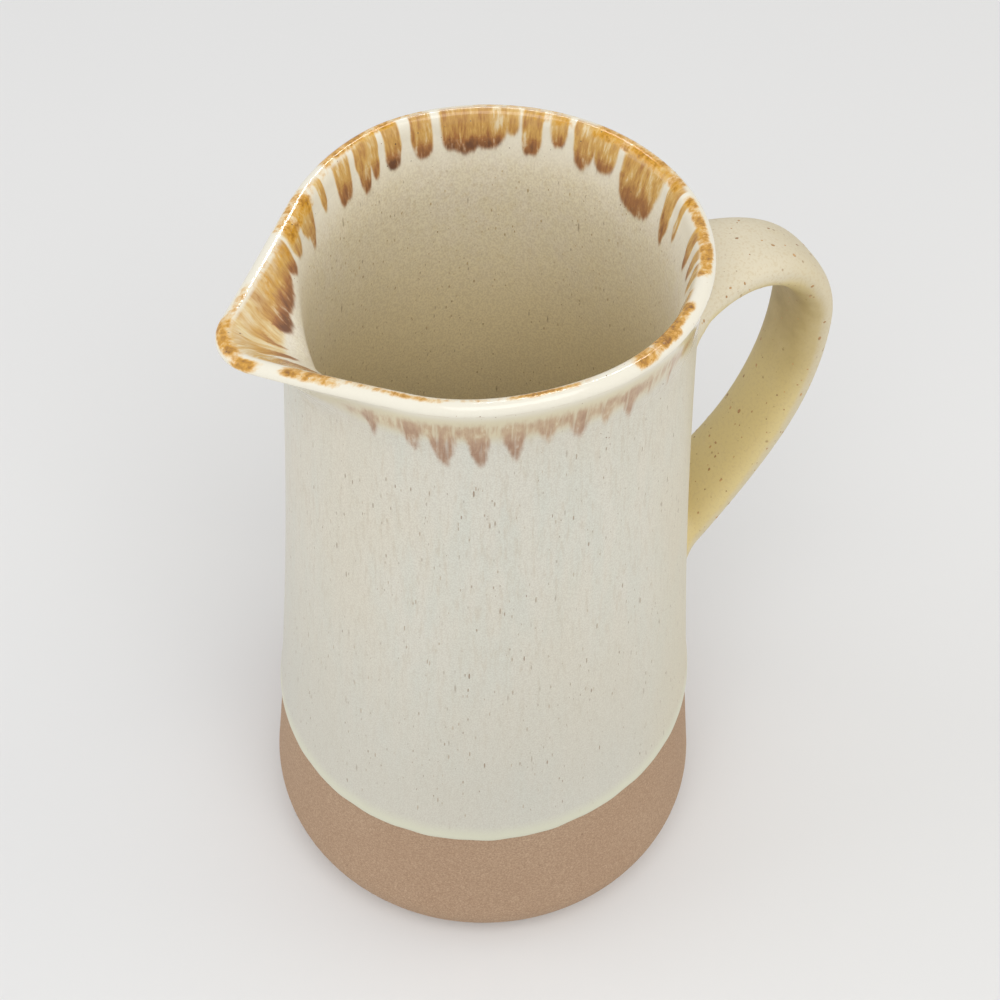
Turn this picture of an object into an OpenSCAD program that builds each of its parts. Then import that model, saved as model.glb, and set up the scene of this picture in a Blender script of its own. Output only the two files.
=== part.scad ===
// Stoneware crock jug: a tapered clay vessel with a flared lip and a pulled spout,
// a strap handle luted on opposite the spout, a cream glaze dipped to a line above
// the bare foot, and a brown glaze that runs from the rim.
// Z is up from the flat base, the spout points to -X and the handle to +X.

/* [Body] */
// Height from the base to the top of the rim at the back
jug_h = 200; // [190:1:212]
// Radius that the wall's line has where it is carried down to the ground
base_r = 59.6; // [56:0.2:63]
// Outer radius of the clay at the neck
neck_r = 44.9; // [43:0.1:46.5]
// Height of the neck above the ground
neck_h = 175; // [165:1:182]
// How far the wall draws in from a straight line, half way up to the neck
wall_draw = 1.7; // [0:0.1:4]
// Thickness of the clay wall
wall_t = 4; // [3:0.1:5.5]
// Radius of the rounded corner round the base
base_round = 15; // [8:0.5:18]
// Thickness of the floor
floor_t = 7; // [5:0.5:10]
// Radius of the hollow corner between the floor and the wall
floor_round = 13; // [8:0.5:18]

/* [Lip] */
// Radius of the middle of the lip's thickness
lip_r = 45; // [44:0.1:47]
// Thickness of the clay at the lip
lip_t = 3.2; // [2.4:0.1:4]
// Height below the lip in which the wall flares out to it
flare_h = 20; // [12:1:30]
// Height of the collar that is shaped to the spout, below the lip
collar_h = 48; // [40:1:60]

/* [Spout] */
// Distance from the axis to the middle of the lip at the spout's tip
spout_reach = 58.8; // [54:0.2:64]
// Radius of the middle of the lip round the spout's tip
spout_tip_r = 9.6; // [7:0.2:12]
// How far the tip hangs below the rest of the lip
spout_droop = 6; // [0:0.5:8]
// Height below the lip in which the spout grows out of the outer wall
spout_outer_h = 21; // [16:1:32]
// Height below the lip in which the spout's channel leaves the inner wall
spout_inner_h = 12; // [9:0.5:18]

/* [Handle] */
// Depth below the rim of the strap's middle at the upper joint
handle_drop = 29.6; // [26:0.2:36]
// Height between the strap's two joints, middle to middle
handle_span = 85.8; // [78:0.2:96]
// Distance from the axis to the strap's middle where it stands out furthest
handle_reach = 83.6; // [78:0.2:90]
// Depth below the rim of the place where the strap stands out furthest
handle_bend_drop = 50.9; // [46:0.1:58]
// Slope at which the strap rises from the upper joint
handle_top_angle = 25; // [10:1:40]
// Slope at which the strap comes down to the lower joint
handle_low_angle = 42; // [30:1:55]
// Pull of the curve away from the upper joint
top_pull = 18.6; // [14:0.2:24]
// Pull of the curve up from the bend
bend_up_pull = 21.6; // [16:0.2:26]
// Pull of the curve down from the bend
bend_down_pull = 28.9; // [20:0.1:36]
// Pull of the curve away from the lower joint
low_pull = 25; // [16:0.5:32]
// Width of the strap along its middle
strap_w = 19.2; // [17:0.2:24]
// Width of the strap at the upper joint
strap_top_w = 30; // [26:0.5:34]
// Width of the strap at the lower joint
strap_low_w = 24.4; // [21:0.2:28]
// Thickness of the strap
strap_t = 8.6; // [7:0.1:10]
// Radius of the slip that fills the corner between the strap and the wall
slip_r = 5.5; // [4:0.5:8]

/* [Glaze] */
// Thickness of the cream glaze
glaze_t = 0.4; // [0.3:0.05:0.6]
// Height of the line where the cream glaze ends
glaze_line_h = 50.6; // [40:0.2:60]
// How far that line climbs on the handle side and falls on the spout side
glaze_line_tilt = 3.2; // [0:0.1:4]
// How far the line wanders up and down
glaze_line_wave = 0.35; // [0:0.05:0.8]
// Thickness of the roll where the glaze has gathered at its edge
glaze_roll_t = 0.8; // [0.65:0.05:1.2]
// Height in which the roll thins out to the plain coat
glaze_roll_h = 14; // [9:0.5:20]
// Thickness of the brown glaze over the cream glaze
rim_glaze_t = 0.3; // [0.2:0.05:0.45]
// Mean depth of the brown glaze's runs below the lip, inside
rim_run_in = 11; // [7:0.5:14]
// Mean depth of the brown glaze's runs below the lip, outside
rim_run_out = 6; // [4:0.5:9]
// How much the runs differ in depth
rim_run_vary = 2.6; // [0:0.2:3]

/* [Hidden] */

// Colours of the fired clay, the slip and the glazes
clay_colour = [0.67, 0.56, 0.47];
slip_colour = [0.72, 0.62, 0.52];
cream_colour = [0.86, 0.85, 0.78];
liner_colour = [0.76, 0.73, 0.63];
brown_colour = [0.68, 0.46, 0.24];
strap_glaze_colour = [0.85, 0.81, 0.68];

// Points round a plan outline, along an arc, up a wall and round the strap
plan_n = 56;
corner_n = 8;
wall_n = 8;
strap_n = 16;
$fn = plan_n;

// Crowding of the plan's points towards the spout, in degrees
spout_crowding = 18;
// Powers that shape the flare, the spout outside and the spout inside
flare_power = 2.2;
spout_outer_power = 1.6;
spout_inner_power = 1.2;
// Power of the strap's rounded section: 2 is an ellipse, more is squarer
strap_power = 2.6;

// Depths of the collar's low rings as shares of its height, and of its high rings as
// shares of the brown glaze's shortest run
low_ring_shares = [1, 0.6, 0.4];
high_ring_shares = [0.62, 0.28, 0];
// Places round the lip's half circle, from its outer side to its inner side, as shares
lip_shares = [0, 1 / 6, 1 / 3, 1 / 2, 2 / 3, 5 / 6, 1];
// Heights in the glaze's rolled edge and the thickness there, as shares
roll_height_shares = [0.02, 0.08, 0.18, 0.34, 0.58, 1];
roll_thick_shares = [0.55, 0.95, 1, 0.6, 0.2, 0];
// Where a run of brown glaze is at its full thickness, as a share of its depth
run_full_share = 0.6;
// How far the brown glaze's underside stands off the coat under it
rim_seat = 0.05;
// How far the collar has a ring above the shortest run and one below the longest
run_margin = 0.5;
// Places round the slip's hollow corner, from the wall to the strap, as shares of it
round_shares = [0.8, 0.6, 0.4, 0.2, 0];
// Places of the strap's rings from the slip's edge to the bend, as shares of that way
strap_shares = [0.1, 0.23, 0.39, 0.57, 0.78, 1];
// Share of the strap's length in which it widens to each joint
strap_widening_share = 0.29;
// How deep the strap's root goes into the wall before it is cut to it, in walls
root_depth_walls = 0.6;
// How far the slip's feathered edge dips under the wall's face
edge_sink = 0.3;
// Bearing of the highest place of the glaze line, from the handle, in degrees
glaze_tilt_bearing = 7.7;

lip_z = jug_h - lip_t / 2 - glaze_t - rim_glaze_t;
collar_z = lip_z - collar_h;
shortest_run = rim_run_in - rim_run_vary - run_margin;
longest_run = rim_run_in + rim_run_vary + run_margin;
collar_depths = concat(collar_h * low_ring_shares, [longest_run, shortest_run], shortest_run * high_ring_shares);
spout_d = spout_reach - spout_tip_r;
roll_top_z = glaze_line_h + glaze_line_tilt + glaze_line_wave + glaze_roll_h;

function clamp01(v) = max(0, min(1, v));
function smooth(v) = v * v * (3 - 2 * v);
function rise(z, h) = clamp01((z - lip_z + h) / h);

// Outer and inner radius of the clay wall at height z, away from the spout
function wall_r(z) =
    let (s = z / neck_h)
    base_r + (neck_r - base_r) * s - wall_draw * 4 * s * (1 - s);
function outer_r(z) =
    wall_r(z) + (lip_r + lip_t / 2 - wall_r(lip_z)) * pow(rise(z, flare_h), flare_power);
function inner_r(z) =
    let (inside = wall_r(z) - wall_t)
    inside + (lip_r - lip_t / 2 - wall_r(lip_z) + wall_t) * pow(rise(z, flare_h), flare_power);

// Lean of the wall just above the base, in degrees
lean = atan((wall_r(0) - wall_r(base_round)) / base_round);

// A round corner whose lowest point is at height low, tangent to the wall side(z)
function corner(low, radius, edge_r, grow) =
    let (low_end = low + radius, top = low_end + radius * sin(lean), mid_r = edge_r(top) - radius * cos(lean))
    [for (i = [0:corner_n]) let (a = -90 + (90 + lean) * i / corner_n)
        [mid_r + (radius + grow) * cos(a), low_end + (radius + grow) * sin(a)]];
function wall_line(from, to, edge_r, grow) =
    [for (i = [1:wall_n]) let (z = from + (to - from) * i / wall_n) [edge_r(z) + grow, z]];
function corner_top(low, radius) = low + radius * (1 + sin(lean));
function reversed(list) = [for (i = [len(list) - 1:-1:0]) list[i]];

outer_edge = function (z) wall_r(z);
inner_edge = function (z) wall_r(z) - wall_t;

// Plan angles, measured from the spout and crowded towards it
plan_angles = [for (i = [0:plan_n - 1]) let (a = 360 * i / plan_n - 180) a - spout_crowding * sin(a)];

// The collar's rings stand just outside the round wall where they meet it, by the share
// that a flat between two plan points falls short of the circle, and so does the roll
widest_step = plan_angles[1] - plan_angles[0];
ring_share = 1 / cos(widest_step / 2) + 0.0004;
function collar_share(z) = z < collar_z ? 1 : 1 + (ring_share - 1) * (1 - (z - collar_z) / collar_h);

// Distance from the axis to an outline of two circles and their common tangents, at
// angle a: the large circle round the axis, and the tip's circle at distance d
function reach(a, large, tip, d) =
    let (turn = abs(a), touch = acos(min(1, (large - tip) / d)),
         tip_turn = atan2(tip * sin(touch), d + tip * cos(touch)))
    turn >= touch ? large
        : turn >= tip_turn ? large / cos(touch - turn)
        : d * cos(turn) + sqrt(tip * tip - pow(d * sin(turn), 2));

// How far the rim hangs at angle a, at its full depth
function hang(a) =
    let (forward = reach(a, lip_r, spout_tip_r, spout_d) * cos(a))
    spout_droop * smooth(clamp01(forward / spout_reach));

// One ring of the collar. side is 1 outside and -1 inside, and grow lies on the clay
function wall_ring(side, grow, z, dip = 0) =
    [for (i = [0:plan_n - 1])
        let (a = plan_angles[i], h = z - (is_list(dip) ? dip[i] : dip),
             large = side > 0 ? (outer_r(h) + grow) * collar_share(h) : (inner_r(h) - grow) / collar_share(h),
             tip = spout_tip_r + side * (lip_t / 2 + grow),
             g = side > 0 ? pow(rise(h, spout_outer_h), spout_outer_power)
                          : pow(rise(h, spout_inner_h), spout_inner_power),
             m = reach(a, large, tip, large - tip + g * (spout_d - lip_r + spout_tip_r)))
        [-m * cos(a), m * sin(a), h - hang(a) * clamp01((h - collar_z) / collar_h)]];

// One ring on the lip's round, share 0 outside, 1/2 on the crest and 1 inside
function lip_ring(grow, share) =
    let (size = lip_t / 2 + grow, out = size * cos(180 * share), up = size * sin(180 * share))
    [for (a = plan_angles)
        let (m = reach(a, lip_r + out, spout_tip_r + out, spout_d))
        [-m * cos(a), m * sin(a), lip_z + up - hang(a)]];

function collar_rings(side, grow) =
    [for (depth = collar_depths) wall_ring(side, grow, lip_z - depth)];
function lip_rings(grow, from, to) =
    [for (i = [from:from < to ? 1 : -1:to]) lip_ring(grow, lip_shares[i])];

// A solid skinned over rings of points, whose last ring joins the first again
module ring_loft(rings) {
    n = len(rings[0]);
    m = len(rings);
    faces = [for (j = [0:m - 1], i = [0:n - 1], half = [0, 1])
        let (a = j * n + i, b = j * n + (i + 1) % n, c = (j + 1) % m * n + i, d = (j + 1) % m * n + (i + 1) % n)
        half == 0 ? [a, b, d] : [a, d, c]];
    polyhedron([for (ring = rings) each ring], faces);
}

// A solid skinned over rings of points, closed by a flat cap at each end
module capped_loft(rings) {
    n = len(rings[0]);
    m = len(rings);
    faces = [for (j = [0:m - 2], i = [0:n - 1], half = [0, 1])
        let (a = j * n + i, b = j * n + (i + 1) % n, c = (j + 1) * n + i, d = (j + 1) * n + (i + 1) % n)
        half == 0 ? [a, b, d] : [a, d, c]];
    first = [for (i = [n - 1:-1:0]) i];
    last = [for (i = [0:n - 1]) (m - 1) * n + i];
    polyhedron([for (ring = rings) each ring], concat(faces, [first, last]));
}

// The clay below the collar: rounded base, wall and floor
module lower_clay() {
    rotate_extrude() polygon(concat(
        [[0, 0]],
        corner(0, base_round, outer_edge, 0),
        wall_line(corner_top(0, base_round), roll_top_z, outer_edge, 0),
        wall_line(roll_top_z, collar_z, outer_edge, 0),
        reversed(wall_line(corner_top(floor_t, floor_round), collar_z, inner_edge, 0)),
        reversed(corner(floor_t, floor_round, inner_edge, 0)),
        [[0, floor_t]]));
}

// Everything inside the clay's outer face, grown by grow, as the strap meets it: midway
// between the corners and the flats of the collar's rings
module wall_core(grow) {
    flat_share = (1 + cos(widest_step / 2)) / 2;
    low = [for (i = [0:wall_n]) let (z = collar_z * i / wall_n) [wall_r(z) + grow, z]];
    high = [for (depth = collar_depths) let (z = lip_z - depth)
        [(outer_r(z) + grow) * collar_share(z) * flat_share, z]];
    rotate_extrude($fn = 4 * plan_n) polygon(concat([[0, 0]], low, high, [[0, lip_z]]));
}

// The strap's middle line, as two curves that meet at the bend
top_joint = [wall_r(jug_h - handle_drop), jug_h - handle_drop];
low_joint = [wall_r(top_joint[1] - handle_span), top_joint[1] - handle_span];
bend = [handle_reach, jug_h - handle_bend_drop];
top_way = [cos(handle_top_angle), sin(handle_top_angle)];
low_way = [cos(handle_low_angle), sin(handle_low_angle)];
upper_curve = [top_joint, top_joint + top_pull * top_way, bend + [0, bend_up_pull], bend];
lower_curve = [low_joint, low_joint + low_pull * low_way, bend - [0, bend_down_pull], bend];

// A curve's point and direction at share t. Below zero it runs straight on into the wall
function curve_at(p, t) =
    t < 0 ? p[0] + 3 * t * (p[1] - p[0])
        : pow(1 - t, 3) * p[0] + 3 * pow(1 - t, 2) * t * p[1] + 3 * (1 - t) * t * t * p[2] + t * t * t * p[3];
function curve_way(p, t) =
    let (u = max(t, 0), v = pow(1 - u, 2) * (p[1] - p[0]) + 2 * (1 - u) * u * (p[2] - p[1]) + u * u * (p[3] - p[2]))
    v / norm(v);

// Half the strap's width at share t of a curve, from its joint to the bend
function strap_half(t, joint_w) =
    strap_w / 2 + (joint_w - strap_w) / 2 * pow(max(0, 1 - max(t, 0) / 2 / strap_widening_share), 2);

// A strap is [curve, width at the joint, side], with side -1 on the lower curve, which
// keeps its rings turned the way that the upper ones are
upper_strap = [upper_curve, strap_top_w, 1];
lower_strap = [lower_curve, strap_low_w, -1];

// The point at share t on the line at angle a round a strap's section, grown by grow
function strap_point(strap, t, a, grow) =
    let (p = curve_at(strap[0], t), way = strap[2] * curve_way(strap[0], t), w = strap_half(t, strap[1]),
         e = 2 / strap_power, side = sign(cos(a)) * pow(abs(cos(a)), e),
         face = sign(sin(a)) * pow(abs(sin(a)), e), lift = (strap_t / 2 + grow) * face)
    [p[0] + way[1] * lift, (w + grow) * side, p[1] - way[0] * lift];

// Share t where that line stands away from the wall's face by away, found by halving
function meet(strap, a, grow, away, from, to, steps) =
    let (mid = (from + to) / 2, p = strap_point(strap, mid, a, grow))
    steps == 0 ? mid
        : norm([p[0], p[1]]) - outer_r(p[2]) < away ? meet(strap, a, grow, away, mid, to, steps - 1)
        : meet(strap, a, grow, away, from, mid, steps - 1);
function meet_at(strap, a, grow, away) = meet(strap, a, grow, away, -1, 1, 20);

// Rings at the joint, each as [distance from the wall, growth]: filled over the slip's
// hollow corner with a coat on it, and bare on the strap inside the slip
function filled_spots(coat) =
    concat([[-root_depth_walls * wall_t, slip_r + coat], [coat - edge_sink, slip_r]],
           [for (share = round_shares)
               [slip_r - (slip_r - coat) * sin(90 * share), slip_r - (slip_r - coat) * cos(90 * share)]]);
function bare_spots() =
    concat([[-root_depth_walls * wall_t, 0], [-edge_sink, 0]],
           [for (share = round_shares) [slip_r - slip_r * sin(90 * share), 0]]);
function joint_rings(strap, spots) =
    [for (spot = spots) [for (i = [0:strap_n - 1])
        let (a = 360 * i / strap_n)
        strap_point(strap, meet_at(strap, a, spot[1], spot[0]), a, spot[1])]];

// All rings of one half of the strap, from inside the wall to the bend
function half_strap(strap, spots, coat) =
    let (starts = [for (i = [0:strap_n - 1]) meet_at(strap, 360 * i / strap_n, coat, slip_r)])
    concat(joint_rings(strap, spots),
           [for (share = strap_shares) [for (i = [0:strap_n - 1])
               strap_point(strap, starts[i] + (1 - starts[i]) * share, 360 * i / strap_n, coat)]]);
function but_last(list) = [for (i = [0:len(list) - 2]) list[i]];
function strap_rings(spots, coat) =
    concat(half_strap(upper_strap, spots, coat), reversed(but_last(half_strap(lower_strap, spots, coat))));

// The slip round one joint, from inside the wall out to where it feathers away
module joint_slip(strap) {
    rings = concat(joint_rings(strap, filled_spots(0)), reversed(but_last(joint_rings(strap, bare_spots()))));
    difference() {
        ring_loft(strap[2] > 0 ? rings : reversed(rings));
        wall_core(0);
    }
}

// Height of the cream glaze's edge at angle a
function glaze_line(a) =
    glaze_line_h - glaze_line_tilt * cos(a + glaze_tilt_bearing)
    + glaze_line_wave * (0.6 * sin(3 * a + 20) + 0.4 * sin(7 * a + 80));

// A ring in the rolled edge, at a share of the way from the line to the roll's top
function roll_ring(share, grow) =
    [for (a = plan_angles)
        let (z = glaze_line(a) + (roll_top_z - glaze_line(a)) * share, r = (wall_r(z) + grow) * ring_share)
        [-r * cos(a), r * sin(a), z]];

// Depth of each run of brown glaze round the rim, about a mean depth
function run_depths(mean, seed) =
    [for (a = plan_angles)
        mean + rim_run_vary * (0.55 * sin(11 * a + seed) + 0.3 * sin(17 * a + 2 * seed) + 0.15 * sin(5 * a))];

module body() color(clay_colour) union() {
    lower_clay();
    ring_loft(concat(
        collar_rings(1, 0),
        lip_rings(0, 1, 5),
        reversed(collar_rings(-1, 0))));
}

module handle() color(clay_colour) difference() {
    capped_loft(strap_rings(bare_spots(), 0));
    wall_core(0);
}

module upper_joint_slip() color(slip_colour) joint_slip(upper_strap);

module lower_joint_slip() color(slip_colour) joint_slip(lower_strap);

module outer_glaze() color(cream_colour) difference() {
    union() {
        ring_loft(concat(
            [roll_ring(1, 0), roll_ring(0, 0)],
            [for (i = [0:len(roll_height_shares) - 1])
                roll_ring(roll_height_shares[i], glaze_t + (glaze_roll_t - glaze_t) * roll_thick_shares[i])]));
        rotate_extrude() polygon(concat(
            [[outer_edge(roll_top_z), roll_top_z], [outer_edge(roll_top_z) + glaze_t, roll_top_z]],
            wall_line(roll_top_z, collar_z, outer_edge, glaze_t),
            reversed(wall_line(roll_top_z, collar_z, outer_edge, 0))));
        ring_loft(concat(
            collar_rings(1, glaze_t),
            lip_rings(glaze_t, 1, 3),
            lip_rings(0, 3, 1),
            reversed(collar_rings(1, 0))));
    }
    capped_loft(strap_rings(filled_spots(0), 0));
}

module liner_glaze() color(liner_colour) union() {
    rotate_extrude() polygon(concat(
        [[0, floor_t]],
        corner(floor_t, floor_round, inner_edge, 0),
        wall_line(corner_top(floor_t, floor_round), collar_z, inner_edge, 0),
        reversed(wall_line(corner_top(floor_t, floor_round), collar_z, inner_edge, -glaze_t)),
        reversed(corner(floor_t, floor_round, inner_edge, -glaze_t)),
        [[0, floor_t + glaze_t]]));
    ring_loft(concat(
        collar_rings(-1, 0),
        lip_rings(0, 5, 3),
        lip_rings(glaze_t, 3, 5),
        reversed(collar_rings(-1, glaze_t))));
}

module rim_glaze() color(brown_colour) {
    out_runs = run_depths(rim_run_out, 40);
    in_runs = run_depths(rim_run_in, 0);
    full = glaze_t + rim_glaze_t;
    run_shares = concat([1], but_last(high_ring_shares));
    under = glaze_t + rim_seat;
    above = wall_ring(-1, under, lip_z - shortest_run);
    below = wall_ring(-1, under, lip_z - longest_run);
    run_ends = [for (i = [0:plan_n - 1])
        above[i] + (below[i] - above[i]) * (in_runs[i] - shortest_run) / (longest_run - shortest_run)];
    ring_loft(concat(
        [wall_ring(1, under, lip_z, out_runs), wall_ring(1, full, lip_z, out_runs * run_full_share)],
        lip_rings(full, 0, 6),
        [for (share = reversed(run_shares)) wall_ring(-1, full, lip_z - shortest_run * share)],
        [run_ends],
        [for (share = run_shares) wall_ring(-1, under, lip_z - shortest_run * share)],
        lip_rings(under, 6, 0),
        [wall_ring(1, under, lip_z, out_runs * run_full_share)]));
}

module handle_glaze() color(strap_glaze_colour) difference() {
    ring_loft(concat(strap_rings(filled_spots(glaze_t), glaze_t), reversed(strap_rings(filled_spots(0), 0))));
    wall_core(glaze_t);
}

body();
handle();
upper_joint_slip();
lower_joint_slip();
outer_glaze();
liner_glaze();
rim_glaze();
handle_glaze();
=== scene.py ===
"""Stoneware crock jug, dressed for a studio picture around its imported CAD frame.

The jug is a tapered vessel with a pulled spout and a flared lip, a strap handle luted on
opposite the spout, a cream glaze dipped to a line above the bare foot, an olive cream
liner, and a brown glaze that has run from the rim. Lengths are in millimetres in the
form classes and turned into metres where a mesh is made.
"""

import logging
import math
from dataclasses import dataclass, field
from enum import Enum
from itertools import islice
from typing import Iterator, Sequence, Union

import bpy
import numpy as np
from mathutils import Matrix, Vector


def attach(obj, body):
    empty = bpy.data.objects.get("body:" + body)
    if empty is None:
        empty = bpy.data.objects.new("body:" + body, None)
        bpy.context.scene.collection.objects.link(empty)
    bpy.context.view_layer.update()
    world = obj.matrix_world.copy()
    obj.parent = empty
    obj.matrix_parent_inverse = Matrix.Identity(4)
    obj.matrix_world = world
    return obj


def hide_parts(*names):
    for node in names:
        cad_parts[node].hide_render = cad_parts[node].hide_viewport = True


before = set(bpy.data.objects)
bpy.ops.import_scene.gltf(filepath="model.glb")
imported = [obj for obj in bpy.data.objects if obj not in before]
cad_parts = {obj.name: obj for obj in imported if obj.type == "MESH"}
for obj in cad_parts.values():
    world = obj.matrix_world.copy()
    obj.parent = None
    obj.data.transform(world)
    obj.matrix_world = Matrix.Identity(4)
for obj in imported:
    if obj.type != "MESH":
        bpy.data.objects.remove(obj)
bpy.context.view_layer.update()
LOG = logging.getLogger("jug")

MM = 0.001
Array = np.ndarray
Piece = bpy.types.Object
Socket = bpy.types.NodeSocket
Triple = tuple[float, float, float]
Colour = Triple
Value = Union[float, Socket]


def srgb(red: float, green: float, blue: float) -> Colour:
    """Turns a display colour into the linear colour that shaders take.

    Args:
        red: Red, 0 to 255.
        green: Green, 0 to 255.
        blue: Blue, 0 to 255.

    Returns:
        The linear colour, each part from 0 to 1.
    """

    def one(value: float) -> float:
        """Turns one part of the colour."""
        value /= 255.0
        return value / 12.92 if value <= 0.04045 else ((value + 0.055) / 1.055) ** 2.4

    return one(red), one(green), one(blue)


def smooth(value: Array) -> Array:
    """Eases shares, kept from 0 to 1, with a level start and end."""
    value = np.clip(value, 0.0, 1.0)
    return value * value * (3.0 - 2.0 * value)


def ease(value: float) -> float:
    """Eases a single share, as smooth() does."""
    return float(smooth(np.array(value)))


def ring(radius: Array, z: Array, bearing: Array) -> Array:
    """Gives points round the axis, one row of x, y and z for each bearing."""
    heights = np.broadcast_to(z, np.shape(bearing))
    return np.stack([-radius * np.cos(bearing), radius * np.sin(bearing), heights], -1)


def cubic(points: Sequence[Array], share: Array) -> Array:
    """Gives points on a cubic curve.

    Args:
        points: Its four control points.
        share: Places along it, from 0 to 1.

    Returns:
        The points.
    """
    rest = 1 - share
    return (
        rest**3 * points[0]
        + 3 * rest**2 * share * points[1]
        + 3 * rest * share**2 * points[2]
        + share**3 * points[3]
    )


# The vessel and the strap


@dataclass(frozen=True)
class JugForm:
    """The vessel's faces as functions of bearing and height, in millimetres.

    A bearing is measured in radians from the spout, and a positive one is on the side
    away from the camera. A name ends in r for a radius, h for a height and t for a
    thickness, and a power is how late a face swells out.

    Attributes:
        base_r: Radius that the wall's line has at the table.
        wall_draw: How far the wall is drawn in halfway up.
        base_round: Radius of the foot's outer corner.
        floor_round: Radius of the floor's inner corner.
        lip_r: Radius of the middle of the lip.
        collar_h: Height over which the rim's hang fades out.
        spout_reach: Distance from the axis to the spout's tip.
        spout_droop: How far the tip hangs.
        shoulder_h: Height of the smooth shoulder under the lip inside.
        shoulder_turn: How much sooner the lip's round ends there, in radians.
        shoulder_pull: How full the shoulder's curve is.
        dense_h: Height above which the meshes have closer rows.
    """

    height: float = 200.0
    base_r: float = 59.6
    neck_r: float = 44.9
    neck_h: float = 175.0
    wall_draw: float = 1.7
    wall_t: float = 4.0
    base_round: float = 15.0
    floor_t: float = 7.0
    floor_round: float = 13.0
    lip_r: float = 45.0
    lip_t: float = 3.2
    flare_h: float = 20.0
    flare_power: float = 2.2
    collar_h: float = 48.0
    spout_reach: float = 58.8
    spout_tip_r: float = 9.6
    spout_droop: float = 6.0
    spout_outer_h: float = 21.0
    spout_outer_power: float = 1.6
    spout_inner_h: float = 17.0
    spout_inner_power: float = 1.9
    glaze_t: float = 0.4
    rim_glaze_t: float = 0.3
    shoulder_h: float = 3.0
    shoulder_turn: float = 0.17
    shoulder_pull: float = 0.36
    dense_h: float = 150.0

    @property
    def lip_z(self) -> float:
        """Height of the middle of the lip's round, away from the spout."""
        return self.height - self.lip_t / 2 - self.glaze_t - self.rim_glaze_t

    @property
    def spout_d(self) -> float:
        """Distance from the axis to the centre of the spout's tip."""
        return self.spout_reach - self.spout_tip_r

    def wall_r(self, z: Array) -> Array:
        """Gives the outer radius of the clay at heights below the flare."""
        share = z / self.neck_h
        return self.base_r + (self.neck_r - self.base_r) * share - self.wall_draw * 4 * share * (1 - share)

    def rise(self, z: Array, span: float) -> Array:
        """Gives the share of a zone below the lip that lies below heights."""
        return np.clip((z - self.lip_z + span) / span, 0.0, 1.0)

    def outer_r(self, z: Array) -> Array:
        """Gives the radius of the clay's outer face away from the spout."""
        flare = self.lip_r + self.lip_t / 2 - self.wall_r(self.lip_z)
        return self.wall_r(z) + flare * self.rise(z, self.flare_h) ** self.flare_power

    def inner_r(self, z: Array) -> Array:
        """Gives the radius of the clay's inner face away from the spout."""
        flare = self.lip_r - self.lip_t / 2 - self.wall_r(self.lip_z) + self.wall_t
        return self.wall_r(z) - self.wall_t + flare * self.rise(z, self.flare_h) ** self.flare_power

    @staticmethod
    def reach(bearing: Array, large: Array, tip: Array, distance: Array) -> Array:
        """Gives the distance from the axis to an outline of two circles and tangents.

        Args:
            bearing: Bearings.
            large: Radius of the circle round the axis.
            tip: Radius of the circle at the spout's tip.
            distance: Distance of that circle's centre from the axis.

        Returns:
            The distances.
        """
        turn = np.abs(bearing)
        touch = np.arccos(np.minimum(1.0, (large - tip) / distance))
        tip_turn = np.arctan2(tip * np.sin(touch), distance + tip * np.cos(touch))
        side = large / np.cos(np.clip(touch - turn, -1.5, 1.5))
        square = np.maximum(tip**2 - (distance * np.sin(turn)) ** 2, 0.0)
        round_tip = distance * np.cos(turn) + np.sqrt(square)
        return np.where(turn >= touch, large, np.where(turn >= tip_turn, side, round_tip))

    def hang(self, bearing: Array) -> Array:
        """Gives how far the rim hangs below its height at the back."""
        out = self.reach(bearing, self.lip_r, self.spout_tip_r, self.spout_d)
        return self.spout_droop * smooth(out * np.cos(bearing) / self.spout_reach)

    def face(self, side: int, grow: Array, z: Array, bearing: Array) -> Array:
        """Gives points on the vessel's outer or inner face.

        Args:
            side: 1 for the outer face and -1 for the inner one.
            grow: How far the points stand off the clay.
            z: Heights before the rim's hang is taken off.
            bearing: Bearings.

        Returns:
            Points, one row of x, y and z for each bearing.
        """
        large = self.outer_r(z) + grow if side > 0 else self.inner_r(z) - grow
        tip = self.spout_tip_r + side * (self.lip_t / 2 + grow)
        if side > 0:
            pull = self.rise(z, self.spout_outer_h) ** self.spout_outer_power
        else:
            pull = self.rise(z, self.spout_inner_h) ** self.spout_inner_power
        distance = large - tip + pull * (self.spout_d - self.lip_r + self.spout_tip_r)
        out = self.reach(bearing, large, tip, distance)
        share = np.clip((z - self.lip_z + self.collar_h) / self.collar_h, 0.0, 1.0)
        return ring(out, z - self.hang(bearing) * share, bearing)

    def lip(self, grow: Array, share: Array, bearing: Array) -> Array:
        """Gives points on the lip's round.

        Args:
            grow: How far the points stand off the clay.
            share: 0 on the outer side, a half on the crest and 1 on the inner side, as
                one number or one for each bearing.
            bearing: Bearings.

        Returns:
            Points, one row of x, y and z for each bearing.
        """
        size = self.lip_t / 2 + grow
        out, up = size * np.cos(math.pi * share), size * np.sin(math.pi * share)
        far = self.reach(bearing, self.lip_r + out, self.spout_tip_r + out, self.spout_d)
        return ring(far, self.lip_z + up - self.hang(bearing), bearing)

    def brink(self, bearing: Array) -> Array:
        """Gives the places round the lip where its round turns into the inner face.

        Args:
            bearing: Bearings.

        Returns:
            Places, as lip() takes them.
        """
        size = 0.001
        here = self.face(-1, self.glaze_t, self.lip_z, bearing)
        along = self.face(-1, self.glaze_t, self.lip_z, bearing + size) - here
        down = self.face(-1, self.glaze_t, self.lip_z - size, bearing) - here
        normal = np.cross(along, down)
        slope = np.arcsin(np.abs(normal[..., 2]) / np.linalg.norm(normal, axis=-1))
        return 1.0 - (slope + self.shoulder_turn) / math.pi

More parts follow.
